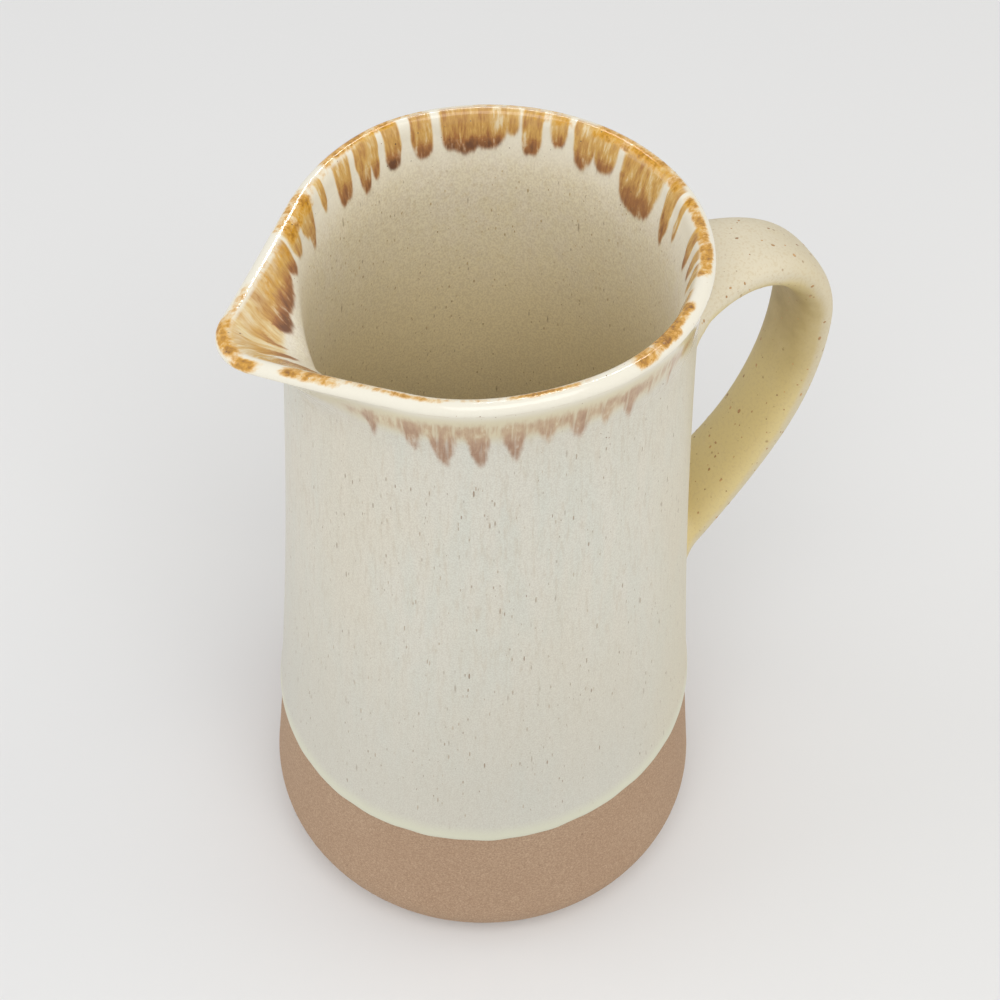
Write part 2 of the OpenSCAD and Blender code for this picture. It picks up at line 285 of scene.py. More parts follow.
    def inside(self, grow: Array, depth: float, bearing: Array) -> Array:
        """Gives points on the inner face, which runs smoothly into the lip's round.

        Args:
            grow: How far the points stand off the clay.
            depth: Depth below the lip.
            bearing: Bearings.

        Returns:
            Points, one row of x, y and z for each bearing.
        """
        if depth >= self.shoulder_h:
            return self.face(-1, grow, self.lip_z - depth, bearing)
        size, foot = 0.001, self.lip_z - self.shoulder_h
        brink = self.brink(bearing)
        first, last = self.lip(grow, brink, bearing), self.face(-1, grow, foot, bearing)
        reach = self.shoulder_pull * np.linalg.norm(last - first, axis=-1, keepdims=True)

        def led(start: Array, way: Array) -> Array:
            """Goes from a start along a way by the shoulder's reach."""
            return start + reach * way / np.linalg.norm(way, axis=-1, keepdims=True)

        second = led(first, self.lip(grow, brink + size, bearing) - first)
        third = led(last, self.face(-1, grow, foot + size, bearing) - last)
        return cubic((first, second, third, last), depth / self.shoulder_h)

    @property
    def lean(self) -> float:
        """Lean of the wall just above the base, in radians."""
        drop = self.wall_r(0.0) - self.wall_r(self.base_round)
        return math.atan(drop / self.base_round)

    def corner(self, low: float, radius: float, inset: float, grow: float, count: int) -> Array:
        """Gives the profile of a round corner between a floor and the wall.

        Args:
            low: Height of the floor.
            radius: Radius of the corner.
            inset: How far the wall's face lies inside the clay's outer face.
            grow: How far the profile stands off the clay.
            count: Number of points.

        Returns:
            Points, one row of radius and height each, from the floor up.
        """
        low_end = low + radius
        middle = (
            self.wall_r(low_end + radius * math.sin(self.lean))
            - inset
            - radius * math.cos(self.lean)
        )
        turn = np.linspace(-math.pi / 2, self.lean, count)
        return np.stack(
            [middle + (radius + grow) * np.cos(turn), low_end + (radius + grow) * np.sin(turn)],
            -1,
        )


@dataclass(frozen=True)
class StrapForm:
    """The strap handle's middle line and section, in millimetres.

    Attributes:
        jug: The vessel.
        drop: Depth of the upper joint below the rim.
        span: Height between the joints.
        out: Distance from the axis to the bend.
        bend_drop: Depth of the bend below the rim.
        top_angle: Rise of the middle line at the upper joint, in degrees.
        low_angle: Its rise at the lower joint.
        top_pull: How far it keeps that way at the upper joint.
        bend_up_pull: How far it is upright above the bend.
        bend_down_pull: How far it is upright below the bend.
        low_pull: How far it keeps its way at the lower joint.
        top_width: Width of the strap at the upper joint.
        low_width: Its width at the lower joint.
        section_power: Power of its section: 2 is oval, more is square.
        widening_share: Share of its length over which a joint widens it.
        slip_r: Radius of the slip's hollow corner.
        root_depth: How deep the meshes reach into the wall.
    """

    jug: JugForm
    drop: float = 29.6
    span: float = 85.8
    out: float = 83.6
    bend_drop: float = 50.9
    top_angle: float = 25.0
    low_angle: float = 42.0
    top_pull: float = 18.6
    bend_up_pull: float = 21.6
    bend_down_pull: float = 28.9
    low_pull: float = 25.0
    width: float = 19.2
    top_width: float = 30.0
    low_width: float = 24.4
    thickness: float = 8.6
    section_power: float = 2.6
    widening_share: float = 0.29
    slip_r: float = 5.5
    root_depth: float = 2.4

    def curves(self) -> tuple[Array, Array]:
        """Gives the two curves of the middle line, each from its joint to the bend.

        Returns:
            The upper and the lower curve, four points of x and z each.
        """
        height = self.jug.height
        top_z = height - self.drop
        top = np.array([self.jug.wall_r(top_z), top_z])
        low = np.array([self.jug.wall_r(top_z - self.span), top_z - self.span])
        bend = np.array([self.out, height - self.bend_drop])
        up_way, low_way = (
            np.array([math.cos(turn), math.sin(turn)])
            for turn in (math.radians(self.top_angle), math.radians(self.low_angle))
        )
        upper = np.array([top, top + self.top_pull * up_way, bend + [0, self.bend_up_pull], bend])
        lower = np.array([low, low + self.low_pull * low_way, bend - [0, self.bend_down_pull], bend])
        return upper, lower

    def point(
        self, curve: Array, flip: int, joint_width: float, share: Array, turn: Array, grow: Array
    ) -> Array:
        """Gives points on the strap's face.

        Args:
            curve: One of the middle line's two curves.
            flip: 1 on the upper curve and -1 on the lower one.
            joint_width: Width of the strap at that curve's joint.
            share: Places along the curve, of which those below 0 lie inside the wall.
            turn: Angles round the section, in radians.
            grow: How far the points stand off the clay.

        Returns:
            Points with x, y and z in the last axis.
        """
        along = np.maximum(share, 0.0)[..., None]
        rest = 1 - along
        middle = cubic(curve, along) + 3 * np.minimum(share, 0.0)[..., None] * (curve[1] - curve[0])
        way = (
            rest**2 * (curve[1] - curve[0])
            + 2 * rest * along * (curve[2] - curve[1])
            + along**2 * (curve[3] - curve[2])
        )
        way = flip * way / np.linalg.norm(way, axis=-1, keepdims=True)
        wide = np.maximum(0.0, 1 - np.maximum(share, 0.0) / 2 / self.widening_share) ** 2
        half = self.width / 2 + (joint_width - self.width) / 2 * wide
        power = 2 / self.section_power
        side = np.sign(np.cos(turn)) * np.abs(np.cos(turn)) ** power
        front = np.sign(np.sin(turn)) * np.abs(np.sin(turn)) ** power
        lift = (self.thickness / 2 + grow) * front
        out, up = middle[..., 0] + way[..., 1] * lift, middle[..., 1] - way[..., 0] * lift
        return np.stack([out, (half + grow) * side, up], -1)

    def meet(
        self, curve: Array, flip: int, joint_width: float, turn: Array, grow: Array, away: Array
    ) -> Array:
        """Finds where the strap's lines stand off the wall by a given distance.

        Args:
            curve: One of the middle line's two curves.
            flip: 1 on the upper curve and -1 on the lower one.
            joint_width: Width of the strap at that curve's joint.
            turn: Angles round the section, in radians.
            grow: How far the lines stand off the clay.
            away: The distance from the wall.

        Returns:
            Places along the curve.
        """
        low, high = np.full(np.shape(turn), -1.0), np.full(np.shape(turn), 1.0)
        for _ in range(26):
            mid = (low + high) / 2
            spot = self.point(curve, flip, joint_width, mid, turn, grow)
            off = np.hypot(spot[..., 0], spot[..., 1]) - self.jug.outer_r(spot[..., 2])
            low, high = np.where(off < away, mid, low), np.where(off < away, high, mid)
        return (low + high) / 2

    def half(
        self, upper: bool, spots: Sequence[tuple[float, float]], coat: float, turn: Array, count: int
    ) -> Array:
        """Gives the rings of one half of the strap, from inside the wall to the bend.

        Args:
            upper: Whether the half is the upper one.
            spots: Rings at the joint, each as distance from the wall and growth.
            coat: Thickness of the coat past the joint.
            turn: Angles round the section, in radians.
            count: Number of rings from the slip's edge to the bend.

        Returns:
            Rings of points.
        """
        curve = self.curves()[0 if upper else 1]
        flip, width = (1, self.top_width) if upper else (-1, self.low_width)
        rings = [
            self.point(curve, flip, width, self.meet(curve, flip, width, turn, grow, away), turn, grow)
            for away, grow in spots
        ]
        start = self.meet(curve, flip, width, turn, coat, self.slip_r)
        for share in np.linspace(0, 1, count + 1)[1:]:
            rings.append(self.point(curve, flip, width, start + (1 - start) * share, turn, coat))
        return np.array(rings)

    def spots(self, filled: bool, coat: float, count: int) -> list[tuple[float, float]]:
        """Gives the rings at a joint, over the slip's hollow corner or without it.

        Args:
            filled: Whether the slip is in place.
            coat: Thickness of the coat on it.
            count: Number of rings round the hollow corner.

        Returns:
            Rings as distance from the wall and growth.
        """
        turns = math.pi / 2 * np.linspace(1, 0, count)
        full, size = self.slip_r, self.slip_r - coat
        if not filled:
            hollow = [(full * (1 - math.sin(turn)), coat) for turn in turns[1:]]
            return [(-self.root_depth, coat), (-0.3, coat), *hollow]
        corner = [(full - size * math.sin(turn), full - size * math.cos(turn)) for turn in turns]
        return [(-self.root_depth, full + coat), (coat - 0.35, full + 0.4), *corner]

    def rings(self, filled: bool, coat: float, sides: int, count: int, corner_count: int) -> Array:
        """Gives all rings of the strap from the upper joint to the lower one.

        Args:
            filled: Whether the slip is in place at both joints.
            coat: Thickness of the coat.
            sides: Number of points round the section.
            count: Number of rings on each half past the joint.
            corner_count: Number of rings round each hollow corner.

        Returns:
            Rings of points.
        """
        turn = np.linspace(0, 2 * math.pi, sides, endpoint=False)
        spots = self.spots(filled, coat, corner_count)
        upper = self.half(True, spots, coat, turn, count)
        lower = self.half(False, spots, coat, turn, count)
        return np.concatenate([upper, lower[-2::-1]])


# Runs of glaze


class Side(Enum):
    """The faces of the wall that a run of glaze can be on."""

    INSIDE = -1
    OUTSIDE = 1


@dataclass(frozen=True)
class Run:
    """A run of brown glaze down from the rim.

    Attributes:
        bearing: Bearing of its middle, in degrees from the spout.
        width: Its width, in degrees.
        depth: How far it reaches below the lip, in millimetres.
        tone: How dark its end is, from 0 to 1.
        point: Power of its outline: 2 is round, less is pointed, more is square.
        slant: How far its end lies to the side, in degrees.
        mauve: How far its end turns mauve, from 0 to 1.
    """

    bearing: float
    width: float
    depth: float
    tone: float = 0.6
    point: float = 2.6
    slant: float = 0.0
    mauve: float = 0.35


@dataclass(frozen=True)
class Patch:
    """A patch of amber on the lip.

    Attributes:
        start: Bearing where it starts, in degrees from the spout.
        end: Bearing where it ends.
        low: Place round the lip where it starts, 0 outside and 1 inside.
        high: Place round the lip where it ends.
        strength: How strong its colour is, from 0 to 1.
    """

    start: float
    end: float
    low: float
    high: float
    strength: float = 0.8


INSIDE_RUNS: tuple[Run, ...] = (
    Run(-13.0, 8.0, 5.2, 0.55, 2.2, -9.0, 0.7),
    Run(-5.0, 10.0, 6.8, 0.6, 2.4, -12.0, 0.9),
    Run(3.4, 6.6, 7.8, 0.7, 2.6, -13.0, 0.9),
    Run(8.8, 3.4, 7.2, 0.6, 2.2, -2.0, 0.6),
    Run(19.6, 14.6, 7.2, 0.9, 3.6, 0.0, 0.4),
    Run(15.4, 6.2, 7.9, 1.0, 3.0, 0.0, 0.35),
    Run(25.4, 5.0, 5.4, 0.7, 2.2, 0.0, 0.5),
    Run(29.4, 5.0, 6.0, 0.85, 2.2, mauve=0.5),
    Run(35.6, 6.0, 5.7, 0.5, 2.0, mauve=0.2),
    Run(44.0, 7.0, 6.6, 0.45, 2.6, mauve=0.1),
    Run(46.0, 6.4, 9.9, 0.7, 1.7, -1.5, 0.1),
    Run(54.6, 3.4, 5.8, 0.5, 2.2, mauve=0.1),
    Run(64.8, 6.6, 9.0, 0.75, 2.8, -1.0, 0.5),
    Run(72.6, 5.4, 10.2, 0.75, 1.9, mauve=0.4),
    Run(76.9, 4.0, 8.0, 0.65, 2.2, mauve=0.3),
    Run(83.6, 5.6, 7.7, 1.0, 3.4, mauve=0.0),
    Run(93.5, 7.0, 7.3, 0.85, 4.0, mauve=0.4),
    Run(103.0, 7.0, 6.8, 1.0, 3.0, mauve=0.1),
    Run(107.0, 12.0, 7.9, 0.95, 2.4, mauve=0.2),
    Run(114.0, 13.0, 6.9, 0.9, 2.2, mauve=0.2),
    Run(121.4, 4.6, 3.4, 0.5, 2.0, mauve=0.0),
    Run(127.6, 6.6, 7.6, 0.75, 3.6, mauve=0.4),
    Run(135.9, 5.6, 4.6, 0.75, 2.2, mauve=0.2),
    Run(144.8, 8.4, 8.0, 0.7, 2.2, mauve=0.6),
    Run(152.4, 8.2, 7.0, 0.65, 2.4, mauve=0.6),
    Run(167.2, 17.4, 12.0, 0.7, 2.8, -0.5, 0.8),
    Run(181.4, 5.4, 12.8, 0.65, 1.9, 0.6, 0.7),
    Run(188.4, 2.8, 8.4, 0.55, 2.0, mauve=0.5),
    Run(200.6, 4.8, 7.8, 0.75, 2.2, 1.0, 0.5),
    Run(208.4, 4.4, 6.4, 0.8, 2.2, mauve=0.5),
    Run(215.0, 5.4, 6.0, 0.5, 2.0),
    Run(226.0, 7.0, 7.6, 0.6, 2.4),
    Run(236.0, 5.0, 9.2, 0.7, 2.0),
    Run(245.0, 8.5, 7.0, 0.7, 3.0),
    Run(256.5, 6.0, 8.6, 0.6, 2.2),
    Run(267.0, 9.0, 6.6, 0.75, 2.8),
    Run(278.0, 5.6, 9.4, 0.65, 2.0),
    Run(288.0, 8.0, 7.4, 0.7, 2.6),
    Run(299.0, 5.4, 8.8, 0.7, 2.2),
    Run(309.0, 8.2, 6.8, 0.75, 2.8),
    Run(320.0, 5.4, 8.0, 0.6, 2.0),
    Run(331.0, 7.6, 6.4, 0.7, 2.6),
    Run(341.0, 6.4, 6.6, 0.7, 2.4),
)

OUTSIDE_RUNS: tuple[Run, ...] = (
    Run(-123.0, 7.0, 8.0, 0.6, 1.8, -1.0),
    Run(-117.4, 5.0, 12.4, 0.6, 1.4, -0.8),
    Run(-109.5, 6.0, 10.0, 0.5, 1.5, -1.0),
    Run(-102.4, 7.0, 12.8, 0.75, 1.5, -0.8),
    Run(-94.6, 6.4, 12.0, 0.55, 1.5, -1.0),
    Run(-87.0, 8.6, 12.8, 0.8, 1.6, -1.2),
    Run(-78.6, 7.4, 12.2, 0.65, 1.5, -1.2),
    Run(-70.4, 7.4, 15.4, 0.95, 1.6, -1.2),
    Run(-61.0, 8.4, 17.6, 1.0, 1.35, -1.6),
    Run(-51.6, 9.4, 17.8, 1.0, 1.35, -2.2),
    Run(-43.6, 7.4, 13.0, 0.9, 1.6, -1.4),
    Run(-33.4, 5.0, 12.6, 1.0, 1.4, -0.8),
    Run(-28.5, 4.5, 8.0, 0.6, 2.0),
    Run(-15.0, 5.0, 8.6, 0.4, 1.9),
    Run(17.0, 5.0, 9.4, 0.5, 1.9),
    Run(30.0, 7.0, 13.0, 0.75, 1.6, 1.0),
    Run(39.0, 6.0, 10.6, 0.6, 1.6, 1.2),
    Run(48.0, 8.0, 15.4, 0.9, 1.4, 1.6),
    Run(57.5, 6.4, 12.0, 0.65, 1.6, 1.2),
    Run(66.0, 8.6, 16.2, 0.85, 1.4, 1.6),
    Run(76.0, 6.2, 11.4, 0.6, 1.6, 1.2),
    Run(85.5, 8.0, 14.6, 0.85, 1.5, 1.2),
    Run(95.0, 6.4, 11.8, 0.65, 1.6, 1.0),
    Run(105.0, 8.2, 15.8, 0.9, 1.4, 1.2),
    Run(114.0, 6.2, 12.4, 0.65, 1.6, 1.0),
    Run(124.0, 8.4, 14.2, 0.75, 1.5, 0.8),
    Run(134.0, 6.2, 11.0, 0.6, 1.6, 0.8),
    Run(144.0, 7.6, 13.6, 0.75, 1.5, 0.6),
    Run(155.0, 6.4, 10.4, 0.6, 1.6, 0.4),
    Run(168.0, 7.6, 9.4, 0.6, 1.8),
    Run(-178.0, 6.4, 8.8, 0.55, 1.8),
    Run(-165.0, 7.2, 10.2, 0.6, 1.6, -0.4),
    Run(-152.0, 7.4, 12.2, 0.7, 1.5, -0.6),
    Run(-141.0, 6.4, 11.4, 0.6, 1.6, -0.8),
    Run(-131.5, 6.2, 10.4, 0.55, 1.6, -0.8),
)

LIP_PATCHES: tuple[Patch, ...] = (
    Patch(-131, -119, 0.40, 1.05, 0.9),
    Patch(-121, -111, 0.24, 1.05, 0.85),
    Patch(-111, -103.5, 0.12, 1.05, 0.85),
    Patch(-88, -69, 0.46, 0.68, 0.85),
    Patch(-66, -52, 0.5, 0.66, 0.5),
    Patch(-53, -36, 0.42, 0.64, 0.75),
    Patch(-37, -25, 0.44, 0.7, 0.6),
    Patch(-111, -22, 0.5, 0.72, 0.28),
    Patch(-26, -13, 0.24, 0.7, 0.8),
    Patch(-9, -4, 0.02, 0.5, 1.0),
    Patch(-4, 7.5, 0.16, 0.66, 1.0),
    Patch(7, 16, 0.35, 0.62, 0.55),
    Patch(14, 32, 0.55, 1.3, 0.4),
    Patch(33, 50, 0.26, 1.2, 0.7),
    Patch(50, 60, 0.5, 0.9, 0.35),
    Patch(60, 86, 0.18, 0.7, 0.85),
    Patch(84, 96, 0.3, 0.5, 0.7),
    Patch(110, 141, 0.28, 0.5, 0.55),
    Patch(123, 141, 0.5, 0.95, 0.42),
    Patch(146, 182, 0.3, 0.9, 0.7),
    Patch(186, 206, 0.4, 0.8, 0.85),
    Patch(205, 218, 0.3, 0.78, 1.0),
)


@dataclass(frozen=True)
class Veil:
    """The brown glaze's colour at points: how much, how dark and how mauve it is."""

    cover: Array
    tone: Array
    mauve: Array


@dataclass(frozen=True)
class Ripple:
    """A seeded unevenness round the rim, from -1 to 1.

    Attributes:
        cells: How many cells go round.
        tall: Height of a cell, in millimetres.
        seed: Seed of its values.
    """

    cells: int
    tall: float
    seed: int

    def at(self, bearing: Array, depth: float) -> Array:
        """Reads the unevenness.

        Args:
            bearing: Bearings, in radians.
            depth: Depth below the lip, in millimetres.

        Returns:
            The values.
        """
        rows = 40
        table = np.random.default_rng(self.seed).uniform(-1.0, 1.0, (self.cells, rows))
        place = bearing / (2 * math.pi) * self.cells
        column, row = np.floor(place).astype(int), int(depth // self.tall)
        right, low = smooth(place - column), ease(depth / self.tall - row)
        near, far = table[column % self.cells], table[(column + 1) % self.cells]
        upper = near[:, row] * (1 - right) + far[:, row] * right
        lower = near[:, row + 1] * (1 - right) + far[:, row + 1] * right
        return upper * (1 - low) + lower * low


@dataclass(frozen=True)
class RimPattern:
    """Where the brown glaze lies, read at bearings and depths.

    Attributes:
        edge: Softness of a run's end inside, in millimetres.
        band_top: Depth where the band outside starts, in millimetres.
        band_foot: Depth where it ends between the runs.
        golden: How strongly the spout is washed with gold between its runs.
        sway: How the runs' edges sway, in degrees.
        fingers: How unevenly the runs end, as a share of their depth.
        wide_ripple: The unevenness of their edges.
        fine_ripple: The unevenness of their ends.
    """

    edge: float = 2.0
    band_top: float = 1.2
    band_foot: float = 10.5
    golden: float = 0.7
    sway: float = 0.38
    fingers: float = 0.035
    wide_ripple: Ripple = Ripple(150, 2.6, 4)
    fine_ripple: Ripple = Ripple(390, 9.0, 9)

    @staticmethod
    def downhill(
        form: JugForm, side: Side, bearing: Array, step: float, pull: float
    ) -> Iterator[Array]:
        """Follows the glaze's way down from the lip, one step of depth at a time.

        Args:
            form: The vessel.
            side: The face of the wall.
            bearing: Bearings, in radians from the spout, in rising order.
            step: Depth between two rows, in millimetres.
            pull: How strongly the glaze turns from straight down to downhill.

        Yields:
            For each row, the bearing on the lip that the glaze at each bearing came from.
        """
        turn, size = 2 * math.pi, 0.001
        drift = np.zeros_like(bearing)
        depth = 0.0
        while True:
            yield bearing + drift
            z = form.lip_z - depth
            here = form.face(side.value, form.glaze_t, z, bearing)
            along = (form.face(side.value, form.glaze_t, z, bearing + size) - here) / size
            down = (form.face(side.value, form.glaze_t, z - size, bearing) - here) / size
            pairs = ((along, along), (along, down), (down, down))
            length, cross, steep = ((first * second).sum(-1) for first, second in pairs)
            sideways = steep * along[:, 2] - cross * down[:, 2]
            straight = length * down[:, 2] - cross * along[:, 2]
            shift = pull * step * sideways / straight
            drift = np.interp(bearing - shift, bearing, drift, period=turn) - shift
            depth += step

    def veil(self, bearing: Array, depth: float, side: Side) -> Veil:
        """Gives the brown glaze on the wall.

        Args:
            bearing: Bearings on the lip that it came from, in radians from the spout.
            depth: Depth below the lip, in millimetres.
            side: The face of the wall.

        Returns:
            The glaze at those points.
        """
        degrees = np.degrees(bearing)
        cover, tone, mauve = (np.zeros_like(degrees) for _ in range(3))
        inside = side is Side.INSIDE
        degrees = degrees + self.sway * self.wide_ripple.at(bearing, depth)
        ends = 1.0 + self.fingers * (1.0 if inside else 1.3) * self.fine_ripple.at(bearing, depth)
        for run in INSIDE_RUNS if inside else OUTSIDE_RUNS:
            down = depth * ends / run.depth
            off = (degrees - run.bearing - run.slant * down + 180.0) % 360.0 - 180.0
            across = np.abs(off) / (run.width / 2)
            reach = across**run.point + down ** max(run.point, 1.6)
            blur = self.edge * (1.0 if inside else 2.6) * run.point / run.depth + 0.25
            mask = smooth((1.0 + blur / 2 - reach) / blur)
            end = smooth((down - 0.26) / 0.62)
            start = 0.2 + 0.22 * run.tone if inside else 0.42
            own = start + (run.tone - start) * end
            new = mask > cover
            tone = np.where(new, own, tone)
            mauve = np.where(new, 0.5 * run.mauve * end, mauve)
            cover = np.maximum(cover, mask)
        if not inside:
            spout = smooth((36.0 - np.abs((degrees + 180.0) % 360.0 - 180.0)) / 16.0)
            top = ease((depth - self.band_top) / 5.0)
            band = 0.74 * top * ease((self.band_foot - depth) / 4.5)
            tone = np.maximum(tone, 0.5)
            cover = np.maximum(cover * top, band) * (1.0 - 0.75 * spout)
        else:
            spout = smooth((20.0 - np.abs(degrees - 10.0)) / 8.0)
            golden = self.golden * spout * ease((8.0 - depth) / 2.5)
            tone = np.where(golden > cover, 0.16, tone)
            thinned = 1.0 - 0.6 * spout * (1.0 - ease(depth / 3.5))
            cover = np.maximum(cover * thinned, golden)
        return Veil(cover, tone, mauve)

    def wash(self, bearing: Array, share: Array) -> Array:
        """Gives how far the brown glaze comes up over the lip's inner side.

        Args:
            bearing: Bearings, in radians from the spout.
            share: Places round the lip, 0 outside and 1 inside.

        Returns:
            Strengths, from 0 to 1.
        """
        turn = np.degrees(bearing) % 360.0
        back = smooth((turn - 62.0) / 20.0) * smooth((212.0 - turn) / 20.0)
        left = smooth((turn - 26.0) / 10.0) * smooth((66.0 - turn) / 12.0)
        start = 0.66 - 0.3 * back - 0.16 * left
        return smooth((share - start) / 0.26)

    def amber(self, bearing: Array, share: Array) -> Array:
        """Gives the strength of the amber on the lip.

        Args:
            bearing: Bearings, in radians from the spout.
            share: Places round the lip, 0 outside and 1 inside.

        Returns:
            Strengths, from 0 to 1.
        """
        degrees = np.degrees(bearing)
        total = np.zeros_like(degrees)
        for patch in LIP_PATCHES:
            middle, half = (patch.start + patch.end) / 2, (patch.end - patch.start) / 2
            off = np.abs((degrees - middle + 180.0) % 360.0 - 180.0)
            across = smooth((half + 2.0 - off) / 4.0)
            up = smooth((share - patch.low + 0.11) / 0.22) * smooth((patch.high + 0.11 - share) / 0.22)
            total = np.maximum(total, across * up * patch.strength)
        return total


# Meshes


def make_mesh(
    name: str,
    rings: Array,
    attributes: dict[str, Array] | None = None,
    joined: bool = False,
    poles: tuple[bool, bool] = (False, False),
) -> Piece:
    """Makes a closed mesh skinned over rings of points.

    Args:
        name: Name of the object.
        rings: Rings of points in millimetres, as rows, columns and x, y, z.
        attributes: Values for the points, by the name of the attribute.
        joined: Whether the last ring joins the first again.
        poles: Whether the first and the last ring are closed over a point.

    Returns:
        The object, with its faces turned outward.
    """
    rows, columns, _ = rings.shape
    points = rings.reshape(-1, 3) * MM
    index = np.arange(rows * columns).reshape(rows, columns)
    above = np.roll(index, -1, 0) if joined else index[1:]
    below = index if joined else index[:-1]
    quads = np.stack([below, np.roll(below, -1, 1), np.roll(above, -1, 1), above], -1).reshape(-1, 4)
    faces: list[list[int]] = quads.tolist()
    extra: list[Array] = []
    for row, wanted, turned in ((0, poles[0], True), (rows - 1, poles[1], False)):
        if wanted:
            pole = rows * columns + len(extra)
            extra.append(rings[row].mean(0) * MM)
            ring = index[row]
            after = np.roll(ring, -1)
            fan = np.stack([after, ring, np.full(columns, pole)], -1)
            faces += (fan if turned else fan[:, [1, 0, 2]]).tolist()
    if extra:
        points = np.concatenate([points, np.array(extra)])
    mesh = bpy.data.meshes.new(name)
    if signed_volume(points, quads) < 0:
        faces = [face[::-1] for face in faces]
    mesh.from_pydata(points.tolist(), [], faces)
    for key, values in (attributes or {}).items():
        layer = mesh.attributes.new(key, "FLOAT", "POINT")
        flat = np.zeros(len(points), np.float32)
        flat[: rows * columns] = np.broadcast_to(values, (rows, columns)).reshape(-1)
        layer.data.foreach_set("value", flat)
    mesh.shade_smooth()
    mesh.update()
    made = bpy.data.objects.new(name, mesh)
    bpy.context.scene.collection.objects.link(made)
    return made


def signed_volume(points: Array, quads: Array) -> float:
    """Gives six times the volume that quads enclose, negative if they face inward.

    Args:
        points: The points.
        quads: Four indices for each face.

    Returns:
        The signed volume.
    """
    total = 0.0
    for corners in ((0, 1, 2), (0, 2, 3)):
        first, second, third = (points[quads[:, corner]] for corner in corners)
        total += float(np.einsum("ij,ij->", first, np.cross(second, third)))
    return total


# Node trees and finishes


class NodeGraph:
    """A node tree, with short calls for adding nodes."""

    def __init__(self, tree: bpy.types.NodeTree) -> None:
        """Takes the tree."""
        self.tree = tree

    def node(
        self, kind: str, inputs: dict[str, object] | None = None, **settings: object
    ) -> bpy.types.Node:
        """Adds a node.

        Args:
            kind: The node's type.
            inputs: Sockets or values for its inputs, by name.
            **settings: Properties of the node.

        Returns:
            The node.
        """
        made = self.tree.nodes.new(kind)
        for key, value in settings.items():
            setattr(made, key, value)
        for key, value in (inputs or {}).items():
            self.feed(next(item for item in made.inputs if item.name == key and item.enabled), value)
        return made

    def result(
        self, kind: str, inputs: dict[str, object] | None = None, **settings: object
    ) -> Socket:
        """Adds a node and gives its first output in use."""
        made = self.node(kind, inputs, **settings)
        return next(item for item in made.outputs if item.enabled)

    def feed(self, socket: Socket, value: object) -> None:
        """Links a socket to an input, or sets its value.

        Args:
            socket: The input.
            value: A socket, a number or a vector.
        """
        if isinstance(value, bpy.types.NodeSocket):
            self.tree.links.new(value, socket)
        elif isinstance(value, (tuple, list)) and socket.type == "RGBA":
            socket.default_value = (*value[:3], 1.0)
        else:
            socket.default_value = value

    def math(self, operation: str, first: Value, second: Value) -> Socket:
        """Adds an operation on two numbers.

        Args:
            operation: Its name.
            first: First number.
            second: Second number.

        Returns:
            The result.
        """
        made = self.node("ShaderNodeMath", operation=operation)
        for socket, value in zip(made.inputs, (first, second)):
            self.feed(socket, value)
        return made.outputs[0]

    def plus(self, first: Value, second: Value) -> Socket:
        """Adds two numbers."""
        return self.math("ADD", first, second)

    def times(self, first: Value, second: Value) -> Socket:
        """Multiplies two numbers."""
        return self.math("MULTIPLY", first, second)


